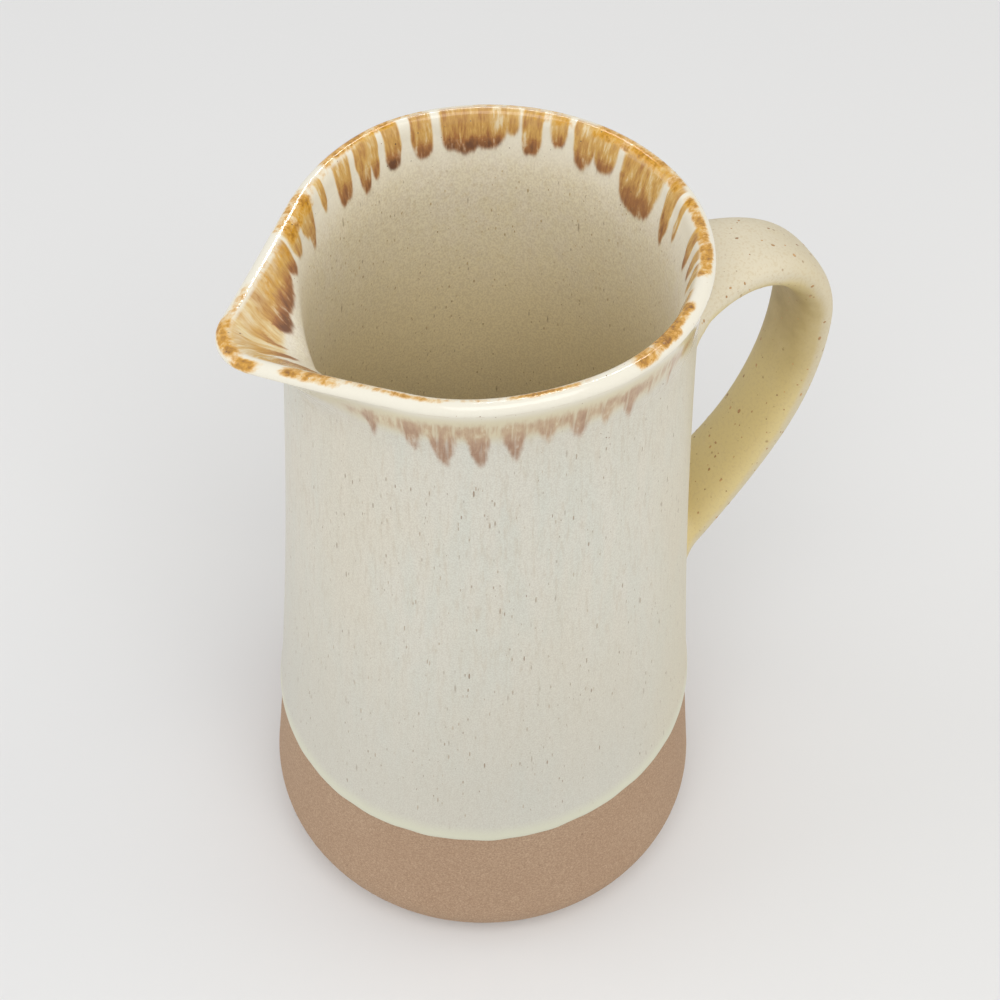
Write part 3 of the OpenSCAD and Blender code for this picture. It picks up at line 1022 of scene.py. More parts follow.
class Graph(NodeGraph):
    """A material's node tree, with short calls for the nodes that the finishes use."""

    def __init__(self, name: str) -> None:
        """Makes an empty material.

        Args:
            name: Name of the material.
        """
        self.material = bpy.data.materials.new(name)
        self.material.use_nodes = True
        super().__init__(self.material.node_tree)
        self.tree.nodes.clear()

    def ramp(
        self,
        value: Value,
        low: Value,
        high: Value,
        start: Value = 0.0,
        end: Value = 1.0,
        eased: bool = True,
    ) -> Socket:
        """Maps a range of values onto another.

        Args:
            value: The value.
            low: Value that gives the start.
            high: Value that gives the end.
            start: Result at the low value.
            end: Result at the high value.
            eased: Whether the result starts and ends level.

        Returns:
            The result.
        """
        values = {"Value": value, "From Min": low, "From Max": high, "To Min": start, "To Max": end}
        way = "SMOOTHSTEP" if eased else "LINEAR"
        return self.result("ShaderNodeMapRange", values, interpolation_type=way)

    def mix(self, share: Value, first: object, second: object) -> Socket:
        """Mixes two colours, by the second one's share."""
        values = {"Factor": share, "A": first, "B": second}
        return self.result("ShaderNodeMix", values, data_type="RGBA", clamp_factor=True)

    def attribute(self, name: str) -> Socket:
        """Reads a number stored on the mesh."""
        return self.node("ShaderNodeAttribute", attribute_name=name).outputs["Fac"]

    def place(self, stretch: Triple = (1.0, 1.0, 1.0), offset: Triple = (0.0, 0.0, 0.0)) -> Socket:
        """Gives the place on the object, stretched along its axes.

        Args:
            stretch: What each coordinate is multiplied by.
            offset: What is added to each coordinate.

        Returns:
            The place.
        """
        here = self.node("ShaderNodeTexCoord").outputs["Object"]
        values = {"Vector": here, "Scale": stretch, "Location": offset}
        return self.result("ShaderNodeMapping", values)

    def along(self, first: Value, second: Value, third: Value = 0.0) -> Socket:
        """Makes a vector of three numbers."""
        values = {"X": first, "Y": second, "Z": third}
        return self.result("ShaderNodeCombineXYZ", values)

    def noise(
        self,
        vector: Socket,
        scale: float,
        detail: float = 2.0,
        rough: float = 0.5,
        twist: float = 0.0,
    ) -> Socket:
        """Adds clouds round a half, of which a metre holds as many as the scale."""
        values = {"Scale": scale, "Detail": detail, "Roughness": rough, "Distortion": twist}
        return self.result("ShaderNodeTexNoise", {"Vector": vector, **values})

    def specks(
        self, vector: Socket, scale: float, size: float, kept: float, soft: float = 0.35
    ) -> Socket:
        """Adds scattered specks of differing sizes.

        Args:
            vector: Where they are read.
            scale: Cells per metre, of which each can hold a speck.
            size: Radius of the largest speck, in cells.
            kept: Share of the cells that hold one.
            soft: Softness of a speck's edge, as a share of its size.

        Returns:
            Coverage, from 0 to 1.
        """
        made = self.node("ShaderNodeTexVoronoi", {"Vector": vector, "Scale": scale}, feature="F1")
        split = self.node("ShaderNodeSeparateColor", {"Color": made.outputs["Color"]})
        there = self.math("GREATER_THAN", split.outputs[0], 1.0 - kept)
        grown = self.ramp(split.outputs[1], 0.0, 1.0, 0.35 * size, size, False)
        inner = self.times(grown, 1.0 - soft)
        cover = self.ramp(made.outputs["Distance"], inner, grown, 1.0, 0.0)
        return self.times(cover, there)

    def bump(self, height: Socket, distance: float) -> Socket:
        """Adds a fine relief, in which a height of 1 stands for a distance in metres."""
        values = {"Strength": 1.0, "Distance": distance, "Height": height}
        return self.result("ShaderNodeBump", values)

    def finish(
        self, colour: object, roughness: Value, normal: Socket | None = None, **settings: float
    ) -> bpy.types.Material:
        """Adds the surface and gives the material.

        Args:
            colour: Colour of the surface.
            roughness: Its roughness.
            normal: Its relief.
            **settings: Further inputs of the surface, with underscores for spaces.

        Returns:
            The material.
        """
        values: dict[str, object] = {"Base Color": colour, "Roughness": roughness}
        if normal is not None:
            values["Normal"] = normal
        for key, value in settings.items():
            values[key.replace("_", " ")] = value
        surface = self.node("ShaderNodeBsdfPrincipled", values)
        self.node("ShaderNodeOutputMaterial", {"Surface": surface.outputs[0]})
        return self.material


@dataclass(frozen=True)
class ClayFinish:
    """Bare fired clay, matt and finely sandy, with dark and pale grains and a little grit."""

    colour: Colour = srgb(185, 157, 130)
    dark: Colour = srgb(181, 152, 125)
    dark_grain: Colour = srgb(148, 118, 94)
    pale_grain: Colour = srgb(214, 188, 160)
    grit: Colour = srgb(112, 84, 66)
    roughness: float = 0.82

    def material(self, name: str) -> bpy.types.Material:
        """Makes the material.

        Args:
            name: Name of the material.

        Returns:
            The material.
        """
        graph = Graph(name)
        here = graph.place()
        grain = graph.noise(here, 2200, 3.0, 0.7)
        cloud = graph.noise(here, 45, 3.0, 0.55)
        mixed = graph.mix(graph.ramp(cloud, 0.3, 0.7), self.colour, self.dark)
        mixed = graph.mix(graph.ramp(grain, 0.38, 0.62, 0.0, 0.62), mixed, self.dark_grain)
        light = graph.noise(graph.place(offset=(0.3, 0.1, 0.7)), 1900, 1.0)
        mixed = graph.mix(graph.ramp(light, 0.5, 0.74, 0.0, 0.28), mixed, self.pale_grain)
        grit = graph.specks(here, 330, 0.14, 0.3)
        mixed = graph.mix(graph.times(grit, 0.35), mixed, self.grit)
        relief = graph.bump(grain, 0.00007)
        return graph.finish(mixed, self.roughness, relief, Specular_IOR_Level=0.25)


@dataclass(frozen=True)
class CreamFinish:
    """The jug's satin cream glaze, with faint streaks and fine specks down the wall.

    Attributes:
        colour: The glaze's own colour.
        warm: The colour where it is thinner.
        cool: The colour where it is thicker.
        edge: The colour of its rolled edge.
        speck: Colour of the specks.
        streak: Colour of the fine streaks.
        low: The colour low on the wall, darker towards the bottom; on the liner it is painted shade,
            darker and yellower deeper inside the jug.
        low_share: How strong that colour is.
        low_top: Height in metres where that colour starts.
        low_span: How much lower it is at its full strength.
        streak_scale: Fine streaks to a metre.
        broad_scale: Broad streaks to a metre.
        cloud_scale: Clouds to a metre.
        grain_share: How strong the finest grain is.
        grain_scale: Grains to a metre.
        painted_handle_reflection: Painted reflection of the handle, a yellow tint on the wall towards it.
        reflection_share: How strong that colour is.
        reflection_start: Where it starts, in metres from the axis.
        reflection_end: Where it is at its full strength.
        stretch: How the pattern is stretched up the wall.
        speck_share: How strong the specks are.
        roughness: Roughness of the glaze.
    """

    colour: Colour = srgb(219, 216, 203)
    warm: Colour = srgb(218, 211, 193)
    cool: Colour = srgb(215, 215, 203)
    edge: Colour = srgb(213, 212, 190)
    speck: Colour = srgb(146, 126, 104)
    streak: Colour = srgb(198, 186, 164)
    low: Colour = srgb(204, 202, 190)
    low_share: float = 0.7
    low_top: float = 0.15
    low_span: float = 0.1
    streak_scale: float = 1100.0
    broad_scale: float = 260.0
    cloud_scale: float = 34.0
    grain_share: float = 0.18
    grain_scale: float = 3200.0
    # Painted reflection of the handle: a yellow tint on the wall towards it.
    painted_handle_reflection: Colour = srgb(216, 206, 176)
    reflection_share: float = 0.75
    reflection_start: float = 0.012
    reflection_end: float = 0.05
    stretch: float = 0.14
    speck_share: float = 0.5
    roughness: float = 0.4

    def layers(self, graph: Graph) -> tuple[Socket, Socket]:
        """Adds the glaze's colour and relief to a material.

        Args:
            graph: The material.

        Returns:
            The colour and a height from 0 to 1.
        """
        tall = graph.place((1, 1, self.stretch))
        fine = graph.noise(tall, self.streak_scale, 2.0, 0.55)
        broad = graph.noise(tall, self.broad_scale, 2.0, 0.5)
        cloud = graph.noise(graph.place((1, 1, 0.5)), self.cloud_scale, 2.0, 0.5)
        grain = graph.noise(graph.place((1, 1, 0.7)), self.grain_scale, 1.0, 0.5)
        mixed = graph.mix(graph.ramp(broad, 0.36, 0.64), self.cool, self.colour)
        mixed = graph.mix(graph.ramp(cloud, 0.36, 0.66, 0.0, 0.7), mixed, self.warm)
        mixed = graph.mix(graph.ramp(fine, 0.48, 0.74, 0.0, 0.34), mixed, self.streak)
        spot = graph.node("ShaderNodeSeparateXYZ", {"Vector": graph.place()}).outputs
        # Darker towards the bottom of the wall; on the liner this is painted shade deeper inside the jug.
        low_end = self.low_top - self.low_span
        low = graph.ramp(spot["Z"], self.low_top, low_end, 0.0, self.low_share)
        mixed = graph.mix(low, mixed, self.low)
        # Painted reflection of the handle: the wall turns yellow towards the handle's side.
        side = graph.ramp(spot["X"], self.reflection_start, self.reflection_end, 0.0, self.reflection_share)
        mixed = graph.mix(side, mixed, self.painted_handle_reflection)
        mixed = graph.mix(graph.ramp(grain, 0.32, 0.68, 0.0, self.grain_share), mixed, self.speck)
        for stretch, offset, scale in ((0.16, 0.0, 560), (0.3, 0.3, 760)):
            here = graph.place((1, 1, stretch), (offset, offset, 0.0))
            faint = graph.specks(here, scale, 0.2, 0.3, 0.7)
            mixed = graph.mix(graph.times(faint, self.speck_share), mixed, self.speck)
        return mixed, fine

    def material(self, name: str) -> bpy.types.Material:
        """Makes the material.

        Args:
            name: Name of the material.

        Returns:
            The material.
        """
        graph = Graph(name)
        mixed, fine = self.layers(graph)
        rolled = graph.attribute("rolled")
        mixed = graph.mix(rolled, mixed, self.edge)
        return graph.finish(mixed, self.roughness, graph.bump(fine, 0.00003))


@dataclass(frozen=True)
class LinerFinish(CreamFinish):
    """The liner's olive cream glaze, with fine specks and no streaks."""

    colour: Colour = srgb(247, 241, 220)
    warm: Colour = srgb(246, 237, 210)
    cool: Colour = srgb(247, 241, 226)
    speck: Colour = srgb(146, 118, 82)
    streak: Colour = srgb(220, 204, 164)
    # Painted shade: the liner is darker and yellower deeper inside the jug.
    low: Colour = srgb(241, 227, 188)
    low_top: float = 0.192
    low_span: float = 0.065
    speck_share: float = 0.6
    low_share: float = 1.0
    grain_share: float = 0.2
    grain_scale: float = 2300.0
    reflection_share: float = 0.0
    stretch: float = 0.6
    roughness: float = 0.4


@dataclass(frozen=True)
class RimFinish:
    """The brown glaze over the rim, glossy, amber on the crest and brown in its runs.

    Attributes:
        outside: The glaze that it lies on outside.
        inside: The glaze that it lies on inside.
        crest: Colour of the bare lip.
        below_crest: Colour under the lip outside, where the brown glaze thins out.
        inner_tones: Colours of the runs inside, from the palest to the darkest.
        outer_tones: Colours of the runs outside, from the palest to the darkest.
        mauve: Colour that some runs inside end in.
        ambers: Colours of the patches on the lip, from the palest to the darkest.
        burnt: Colour of the specks in those patches.
        gloss: Roughness of the polished lip.
    """

    outside: CreamFinish = field(default_factory=CreamFinish)
    inside: LinerFinish = field(default_factory=LinerFinish)
    crest: Colour = srgb(240, 235, 219)
    below_crest: Colour = srgb(216, 205, 170)
    inner_tones: tuple[Colour, ...] = (
        srgb(232, 206, 142),
        srgb(210, 164, 84),
        srgb(166, 106, 46),
        srgb(100, 50, 14),
    )
    outer_tones: tuple[Colour, ...] = (
        srgb(218, 204, 168),
        srgb(196, 168, 134),
        srgb(178, 142, 112),
        srgb(154, 113, 83),
    )
    mauve: Colour = srgb(154, 102, 68)
    ambers: tuple[Colour, ...] = (
        srgb(240, 208, 124),
        srgb(216, 156, 34),
        srgb(136, 84, 6),
    )
    burnt: Colour = srgb(60, 34, 16)
    gloss: float = 0.07

    @staticmethod
    def tones(graph: Graph, value: Socket, colours: Sequence[Colour]) -> Socket:
        """Passes through a row of colours as a number goes from 0 to 1.

        Args:
            graph: The material.
            value: The number.
            colours: The colours.

        Returns:
            The colour.
        """
        steps = len(colours) - 1
        mixed: object = colours[0]
        for place, colour in enumerate(colours[1:]):
            share = graph.ramp(value, place / steps, (place + 1) / steps, eased=False)
            mixed = graph.mix(share, mixed, colour)
        return mixed

    @staticmethod
    def fibres(graph: Graph, scale: float, pull: float, start: float, detail: float) -> Socket:
        """Adds a pattern of fibres that run down the glaze.

        Args:
            graph: The material.
            scale: How many fibres a millimetre holds.
            pull: Their width as a share of their length.
            start: Where in the pattern they are read.
            detail: How many finer layers they have.

        Returns:
            Values round 0.
        """
        down = graph.times(graph.attribute("down"), pull)
        place = graph.along(graph.attribute("across"), down, start)
        return graph.ramp(graph.noise(place, scale, detail, 0.6, 0.15), 0.3, 0.7, -0.5, 0.5, False)

    def runs(self, graph: Graph, base: Socket, side: Socket) -> Socket:
        """Lays the brown runs over a colour.

        Args:
            graph: The material.
            base: The colour.
            side: 0 outside and 1 inside.

        Returns:
            The colour with the runs.
        """
        cover, tone = graph.attribute("cover"), graph.attribute("tone")
        thin, wide = self.fibres(graph, 1.3, 0.2, 0.0, 3.0), self.fibres(graph, 0.42, 0.45, 7.0, 4.0)
        both = graph.plus(graph.times(thin, 0.5), graph.times(wide, 0.8))
        rag = graph.plus(cover, graph.times(both, 0.34))
        slits = graph.ramp(self.fibres(graph, 0.85, 0.07, 19.0, 3.0), 0.0, -0.42, 0.0, 0.8)
        paler = graph.ramp(tone, 0.4, 1.0, 1.0, 0.4)
        sparse = graph.times(graph.math("SUBTRACT", 1.0, side), paler)
        thinned = graph.times(graph.ramp(both, -0.1, -0.5), 0.4)
        gaps = graph.math("MAXIMUM", graph.times(slits, sparse), thinned)
        filled = graph.math("SUBTRACT", 1.0, gaps)
        covered = graph.times(graph.ramp(rag, 0.08, 0.92), filled)
        edge = graph.plus(tone, graph.ramp(cover, 0.2, 1.0, -0.25, 0.0, False))
        depth = graph.plus(edge, graph.times(both, 0.62))
        inner, outer = (self.tones(graph, depth, row) for row in (self.inner_tones, self.outer_tones))
        run = graph.mix(side, outer, graph.mix(graph.attribute("mauve"), inner, self.mauve))
        return graph.mix(graph.times(covered, graph.attribute("strength")), base, run)

    def patches(self, graph: Graph, base: Socket) -> Socket:
        """Lays the lip's amber patches over a colour.

        Args:
            graph: The material.
            base: The colour.

        Returns:
            The colour with the patches.
        """
        cloud, crumb = self.fibres(graph, 0.5, 1.0, 3.0, 4.0), self.fibres(graph, 1.5, 1.0, 11.0, 2.0)
        torn = graph.plus(graph.times(cloud, 0.9), graph.times(crumb, 0.35))
        amber = graph.attribute("amber")
        held = graph.ramp(graph.plus(amber, graph.times(torn, 0.7)), 0.05, 0.95)
        held = graph.times(held, graph.ramp(amber, 0.02, 0.4))
        depth = graph.plus(graph.times(amber, 0.68), graph.times(torn, 0.8))
        tone = self.tones(graph, depth, self.ambers)
        mixed = graph.mix(graph.times(held, 0.94), base, tone)
        place = graph.along(graph.attribute("across"), graph.attribute("down"))
        spots = graph.specks(place, 1.3, 0.2, 0.3, 0.5)
        burnt = graph.times(spots, graph.ramp(held, 0.25, 0.8, 0.0, 0.9))
        return graph.mix(burnt, mixed, self.burnt)

    def material(self, name: str) -> bpy.types.Material:
        """Makes the material.

        Args:
            name: Name of the material.

        Returns:
            The material.
        """
        graph = Graph(name)
        side = graph.attribute("inside")
        outer, fine = self.outside.layers(graph)
        inner, _ = self.inside.layers(graph)
        base = graph.mix(graph.attribute("creamy"), graph.mix(side, outer, inner), self.crest)
        down = graph.attribute("down")
        under = graph.times(graph.ramp(down, -1.6, -5.6), graph.ramp(down, -14.0, -9.0))
        base = graph.mix(graph.times(under, 0.85), base, self.below_crest)
        mixed = self.patches(graph, self.runs(graph, base, side))
        polish = graph.attribute("polish")
        rough = graph.ramp(polish, 0.0, 1.0, self.outside.roughness, self.gloss, False)
        return graph.finish(mixed, rough, graph.bump(fine, 0.00002))


@dataclass(frozen=True)
class StrapFinish:
    """The handle's glaze: cream on the back of the strap and olive yellow inside it.

    Attributes:
        colour: The colour on the back.
        top: The colour at the strap's upper end, lighter as painted light where the strap faces up.
        olive: The colour inside and low down.
        grain: Colour of the fine grain.
        shade: Colour of the painted shade on the inner face inside the bend, broken up by cloudy mottling.
        speck: Colour of the specks.
        roughness: Roughness of the glaze.
    """

    colour: Colour = srgb(212, 200, 170)
    top: Colour = srgb(222, 212, 187)
    olive: Colour = srgb(218, 199, 142)
    grain: Colour = srgb(200, 178, 134)
    shade: Colour = srgb(158, 136, 92)
    speck: Colour = srgb(150, 108, 60)
    roughness: float = 0.5

    def material(self, name: str) -> bpy.types.Material:
        """Makes the material.

        Args:
            name: Name of the material.

        Returns:
            The material.
        """
        graph = Graph(name)
        here = graph.place()
        inner = graph.attribute("inner")
        low = graph.attribute("low")
        cloud = graph.noise(here, 90, 3.0, 0.55)
        tone = graph.plus(graph.times(inner, 0.75), graph.times(low, 0.25))
        blotch = graph.ramp(cloud, 0.3, 0.7, -0.2, 0.2, False)
        tone = graph.ramp(graph.plus(tone, blotch), 0.1, 0.95)
        # Painted light: the strap's upper, upward-facing end is given a lighter colour.
        mixed = graph.mix(tone, graph.mix(graph.ramp(low, 0.36, 0.2), self.colour, self.top), self.olive)
        grain = graph.ramp(graph.noise(here, 1500, 3.0), 0.46, 0.7, 0.0, 0.34)
        mixed = graph.mix(grain, mixed, self.grain)
        # Painted shade on the inner face inside the bend, broken up by cloudy mottling.
        bend = graph.times(graph.ramp(low, 0.28, 0.42), graph.ramp(low, 0.66, 0.48))
        painted_bend_shade = graph.times(bend, graph.ramp(cloud, 0.3, 0.7, 0.35, 0.75))
        mixed = graph.mix(graph.times(painted_bend_shade, inner), mixed, self.shade)
        for offset, scale, size in ((0.0, 420, 0.24), (0.4, 700, 0.2)):
            faint = graph.specks(graph.place(offset=(offset, offset, 0.0)), scale, size, 0.3, 0.7)
            mixed = graph.mix(graph.times(faint, 0.6), mixed, self.speck)
        return graph.finish(mixed, self.roughness, graph.bump(cloud, 0.00012))


# Geometry nodes


class GeometryTree(NodeGraph):
    """A geometry node tree with named inputs."""

    def __init__(self, name: str, inputs: Sequence[tuple[str, str]]) -> None:
        """Makes a tree that takes and gives one geometry.

        Args:
            name: Name of the tree.
            inputs: Name and socket type of each further input.
        """
        super().__init__(bpy.data.node_groups.new(name, "GeometryNodeTree"))
        for way in ("INPUT", "OUTPUT"):
            self.tree.interface.new_socket("Geometry", in_out=way, socket_type="NodeSocketGeometry")
        for key, kind in inputs:
            self.tree.interface.new_socket(key, in_out="INPUT", socket_type=kind)
        self.given = self.node("NodeGroupInput")

    def stored(self, name: str) -> Socket:
        """Reads a number stored on the mesh."""
        made = self.node("GeometryNodeInputNamedAttribute", {"Name": name}, data_type="FLOAT")
        return made.outputs["Attribute"]

    def end(self, geometry: Socket, material: Socket) -> None:
        """Turns instances into faces, sets their material and gives them out.

        Args:
            geometry: The geometry.
            material: The material.
        """
        real = self.result("GeometryNodeRealizeInstances", {"Geometry": geometry})
        named = self.result("GeometryNodeSetMaterial", {"Geometry": real, "Material": material})
        self.node("NodeGroupOutput", {"Geometry": named})

    def apply(self, source: Piece, name: str, values: dict[str, object]) -> Piece:
        """Runs the tree on an object and gives the result as a plain mesh.

        Args:
            source: The object, which stays as it is.
            name: Name of the new object.
            values: Values for the inputs, by name.

        Returns:
            The new object.
        """
        modifier = source.modifiers.new(name, "NODES")
        modifier.node_group = self.tree
        for item in self.tree.interface.items_tree:
            if item.in_out == "INPUT" and item.name in values:
                modifier[item.identifier] = values[item.name]
        bpy.context.view_layer.update()
        graph = bpy.context.evaluated_depsgraph_get()
        mesh = bpy.data.meshes.new_from_object(source.evaluated_get(graph), depsgraph=graph)
        source.modifiers.remove(modifier)
        mesh.name = name
        made = bpy.data.objects.new(name, mesh)
        bpy.context.scene.collection.objects.link(made)
        return made


@dataclass(frozen=True)
class CoatRelief:
    """The unevenness of a fired coat: its slow waves, and its runs that stand proud.

    Attributes:
        run: How far a run stands proud, in millimetres.
        wave: How deep the waves are, in millimetres.
        width: How wide a wave is, in millimetres.
        seed: Seed of the waves.
    """

    run: float = 0.0
    wave: float = 0.03
    width: float = 12.0
    seed: int = 3

    @staticmethod
    def tree() -> GeometryTree:
        """Makes the tree that moves a coat's open face along its normals.

        Returns:
            The tree.
        """
        made = GeometryTree(
            "coat_relief",
            [
                ("Run Height", "NodeSocketFloat"),
                ("Wave Depth", "NodeSocketFloat"),
                ("Wave Width", "NodeSocketFloat"),
                ("Seed", "NodeSocketInt"),
                ("Material", "NodeSocketMaterial"),
            ],
        )
        given = made.given.outputs
        proud = made.times(made.stored("raised"), given["Run Height"])
        cloud = {
            "W": given["Seed"],
            "Scale": made.math("DIVIDE", 1.0, given["Wave Width"]),
            "Detail": 1.0,
        }
        waves = made.result("ShaderNodeTexNoise", cloud, noise_dimensions="4D")
        depth = made.times(made.stored("open"), given["Wave Depth"])
        sunk = made.times(waves, depth)
        normal = made.result("GeometryNodeInputNormal")
        shift = {"Vector": normal, "Scale": made.math("SUBTRACT", proud, sunk)}
        away = made.result("ShaderNodeVectorMath", shift, operation="SCALE")
        place = {"Geometry": given["Geometry"], "Offset": away}
        made.end(made.result("GeometryNodeSetPosition", place), given["Material"])
        return made

    def build(self, tree: GeometryTree, coat: Piece, material: bpy.types.Material) -> Piece:
        """Makes a coat uneven.

        Args:
            tree: The tree that moves its face.
            coat: The even coat, which is taken away.
            material: The coat's material.

        Returns:
            The uneven coat.
        """
        name = coat.name
        values = {
            "Run Height": self.run * MM,
            "Wave Depth": self.wave * MM,
            "Wave Width": self.width * MM,
            "Seed": self.seed,
            "Material": material,
        }
        made = tree.apply(coat, name, values)
        bpy.data.objects.remove(coat)
        made.name = name
        return made


# Sub-assemblies


def crowded(count: int, crowding: float = 0.22) -> Array:
    """Gives bearings all round in radians, closer together at the spout."""
    even = np.linspace(-math.pi, math.pi, count, endpoint=False)
    return even - crowding * np.sin(even)


def settle(piece: Piece, slot: str, *nodes: str) -> Piece:
    """Makes a piece ride on the frame in place of its CAD nodes.

    Args:
        piece: The piece.
        slot: The record's material slot, which is not used.
        *nodes: The CAD nodes that it stands for.

    Returns:
        The piece.
    """
    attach(piece, "root")
    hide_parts(*nodes)
    return piece


@dataclass
class ClayBody:
    """The fired clay vessel, bare below the glaze line.

    Attributes:
        form: The vessel's form.
        columns: Number of points round it.
        bare_h: Height up to which it may be bare, in millimetres.
        shy: How far the clay lies within its solid there.
    """

    form: JugForm
    columns: int = 320
    bare_h: float = 60.0
    shy: float = 0.08
    finish: ClayFinish = field(default_factory=ClayFinish)

    def build(self) -> Piece:
        """Makes the vessel's mesh.

        Returns:
            The object.
        """
        form, bearing = self.form, crowded(self.columns)
        foot = form.corner(0.0, form.base_round, 0.0, -self.shy, 18)
        rings = [ring(foot[0][0] * share, 0.0, bearing) for share in (0.12, 0.5, 0.85, 0.97)]
        rings += [ring(radius, z, bearing) for radius, z in foot]
        for z in np.linspace(foot[-1][1], form.dense_h, 46)[1:]:
            rings.append(form.face(1, -self.shy * (z < self.bare_h), z, bearing))
        for z in np.linspace(form.dense_h, form.lip_z, 30)[1:]:
            rings.append(form.face(1, 0.0, z, bearing))
        for share in np.linspace(0, 1, 12)[1:-1]:
            rings.append(form.lip(0.0, share * form.brink(bearing), bearing))
        shoulder = np.linspace(0.0, form.shoulder_h, 7)
        throat = np.linspace(form.shoulder_h, form.lip_z - form.dense_h, 22)
        for depth in (*shoulder, *throat[1:]):
            rings.append(form.inside(0.0, depth, bearing))
        corner = form.corner(form.floor_t, form.floor_round, form.wall_t, 0.0, 10)
        for z in np.linspace(form.dense_h, corner[-1][1], 20)[1:-1]:
            rings.append(form.face(-1, 0.0, z, bearing))
        rings += [ring(radius, z, bearing) for radius, z in corner[::-1]]
        rings.append(ring(corner[0][0] * 0.3, form.floor_t, bearing))
        return make_mesh("clay_body", np.array(rings), poles=(True, True))

    def dress(self, piece: Piece) -> Piece:
        """Gives the vessel its finish and its place."""
        piece.data.materials.append(self.finish.material("bare_clay"))
        return settle(piece, "bare_clay", "body")


@dataclass
class Coat:
    """A coat of glaze on the vessel.

    Attributes:
        form: The vessel.
        relief: The coat's unevenness.
        slot: The record's material slot.
        node: The CAD node that it stands for.
        columns: Number of points round it.
        finish: Its finish.
    """

    form: JugForm
    relief: CoatRelief = CoatRelief()
    slot: str = ""
    node: str = ""
    columns: int = 360
    finish: Union[CreamFinish, RimFinish] = field(default_factory=CreamFinish)

    def dress(self, piece: Piece, tree: GeometryTree) -> Piece:
        """Gives the coat its unevenness, its finish and its place."""
        piece = self.relief.build(tree, piece, self.finish.material(self.slot))
        return settle(piece, self.slot, self.node)


# Height above the cream glaze's lower edge, and share of the roll that stands out there
EDGE_ROLL: tuple[tuple[float, float], ...] = (
    (0.0, -0.3),
    (0.02, 0.0),
    (0.08, 0.3),
    (0.25, 0.6),
    (0.5, 0.82),
    (0.9, 0.94),
    (1.5, 1.0),
    (2.4, 1.0),
    (3.4, 0.93),
    (4.6, 0.76),
    (6.0, 0.56),
    (7.5, 0.36),
    (9.5, 0.17),
    (12.0, 0.04),
)


@dataclass
class OuterGlaze(Coat):
    """The cream glaze outside, from its rolled edge up to the crest of the lip.

    Attributes:
        line_h: Height of its lower edge, in millimetres.
        tilt: How far the edge dips towards the spout.
        tilt_bearing: How far beside the spout it is lowest, in degrees.
        wave: How far it waves.
        edge_t: Height over which it gets its thickness.
        roll_t: Thickness of the rolled edge.
        roll_h: Height of the rolled edge.
        under: Thickness at its hidden side, next to the clay.
        under_rim: Number of rows that lie under the brown glaze.
    """

    slot: str = "cream_glaze"
    node: str = "outer_glaze"
    line_h: float = 50.6
    tilt: float = 3.2
    tilt_bearing: float = 7.7
    wave: float = 0.35
    edge_t: float = 0.08
    roll_t: float = 0.72
    roll_h: float = 14.0
    under: float = 0.02
    under_rim: int = 16
    columns: int = 420

    def line(self, bearing: Array) -> Array:
        """Gives the height of the glaze's lower edge.

        Args:
            bearing: Bearings.

        Returns:
            The heights.
        """
        turn = np.degrees(bearing)

        def wave(times: float, start: float) -> Array:
            """Gives a wave that goes up and down a number of times on the way round."""
            return np.sin(np.radians(times * turn + start))

        return (
            self.line_h
            - self.tilt * np.cos(np.radians(turn + self.tilt_bearing))
            + self.wave * (0.6 * wave(3, 20) + 0.4 * wave(7, 80))
            + 0.12 * wave(23, 10)
            + 0.08 * wave(41, 130)
        )

    def build(self) -> Piece:
        """Makes the coat's mesh.

        Returns:
            The object.
        """
        form, bearing = self.form, crowded(self.columns)
        line = self.line(bearing)
        rings: list[Array] = []
        rolled: list[float] = []

        def add(row: Array, value: float = 0.0) -> None:
            """Adds a row, and how much of it has the rolled edge's colour."""
            rings.append(row)
            rolled.append(value)

        for above, bulge in EDGE_ROLL:
            thick = form.glaze_t * min(1.0, above / self.edge_t)
            grow = thick + (self.roll_t - form.glaze_t) * bulge
            add(form.face(1, grow, line + above, bearing), ease((6.5 - above) / 5.0))
        base = line + self.roll_h
        for share in np.linspace(0, 1, 50):
            add(form.face(1, form.glaze_t, base + (form.dense_h - base) * share, bearing))
        for z in np.linspace(form.dense_h, form.lip_z, 40)[1:]:
            add(form.face(1, form.glaze_t, z, bearing))
        shown_rows = len(rings) - self.under_rim
        for share in np.linspace(0, 0.5, 8)[1:]:
            add(form.lip(form.glaze_t, share, bearing))
        for share in np.linspace(0.5, 0, 5):
            add(form.lip(self.under, share, bearing))
        for z in np.linspace(form.lip_z, form.dense_h, 20)[1:]:
            add(form.face(1, self.under, z, bearing))
        for share in np.linspace(1, 0, 14)[1:]:
            z = line + 0.3 + (form.dense_h - 1.0 - line) * share
            add(form.face(1, self.under, z, bearing))
        shown = np.zeros(len(rings))
        shown[len(EDGE_ROLL) - 2 : shown_rows] = 1.0
        stored = {"rolled": np.array(rolled)[:, None], "open": shown[:, None]}
        return make_mesh("outer_glaze_coat", np.array(rings), stored, joined=True)


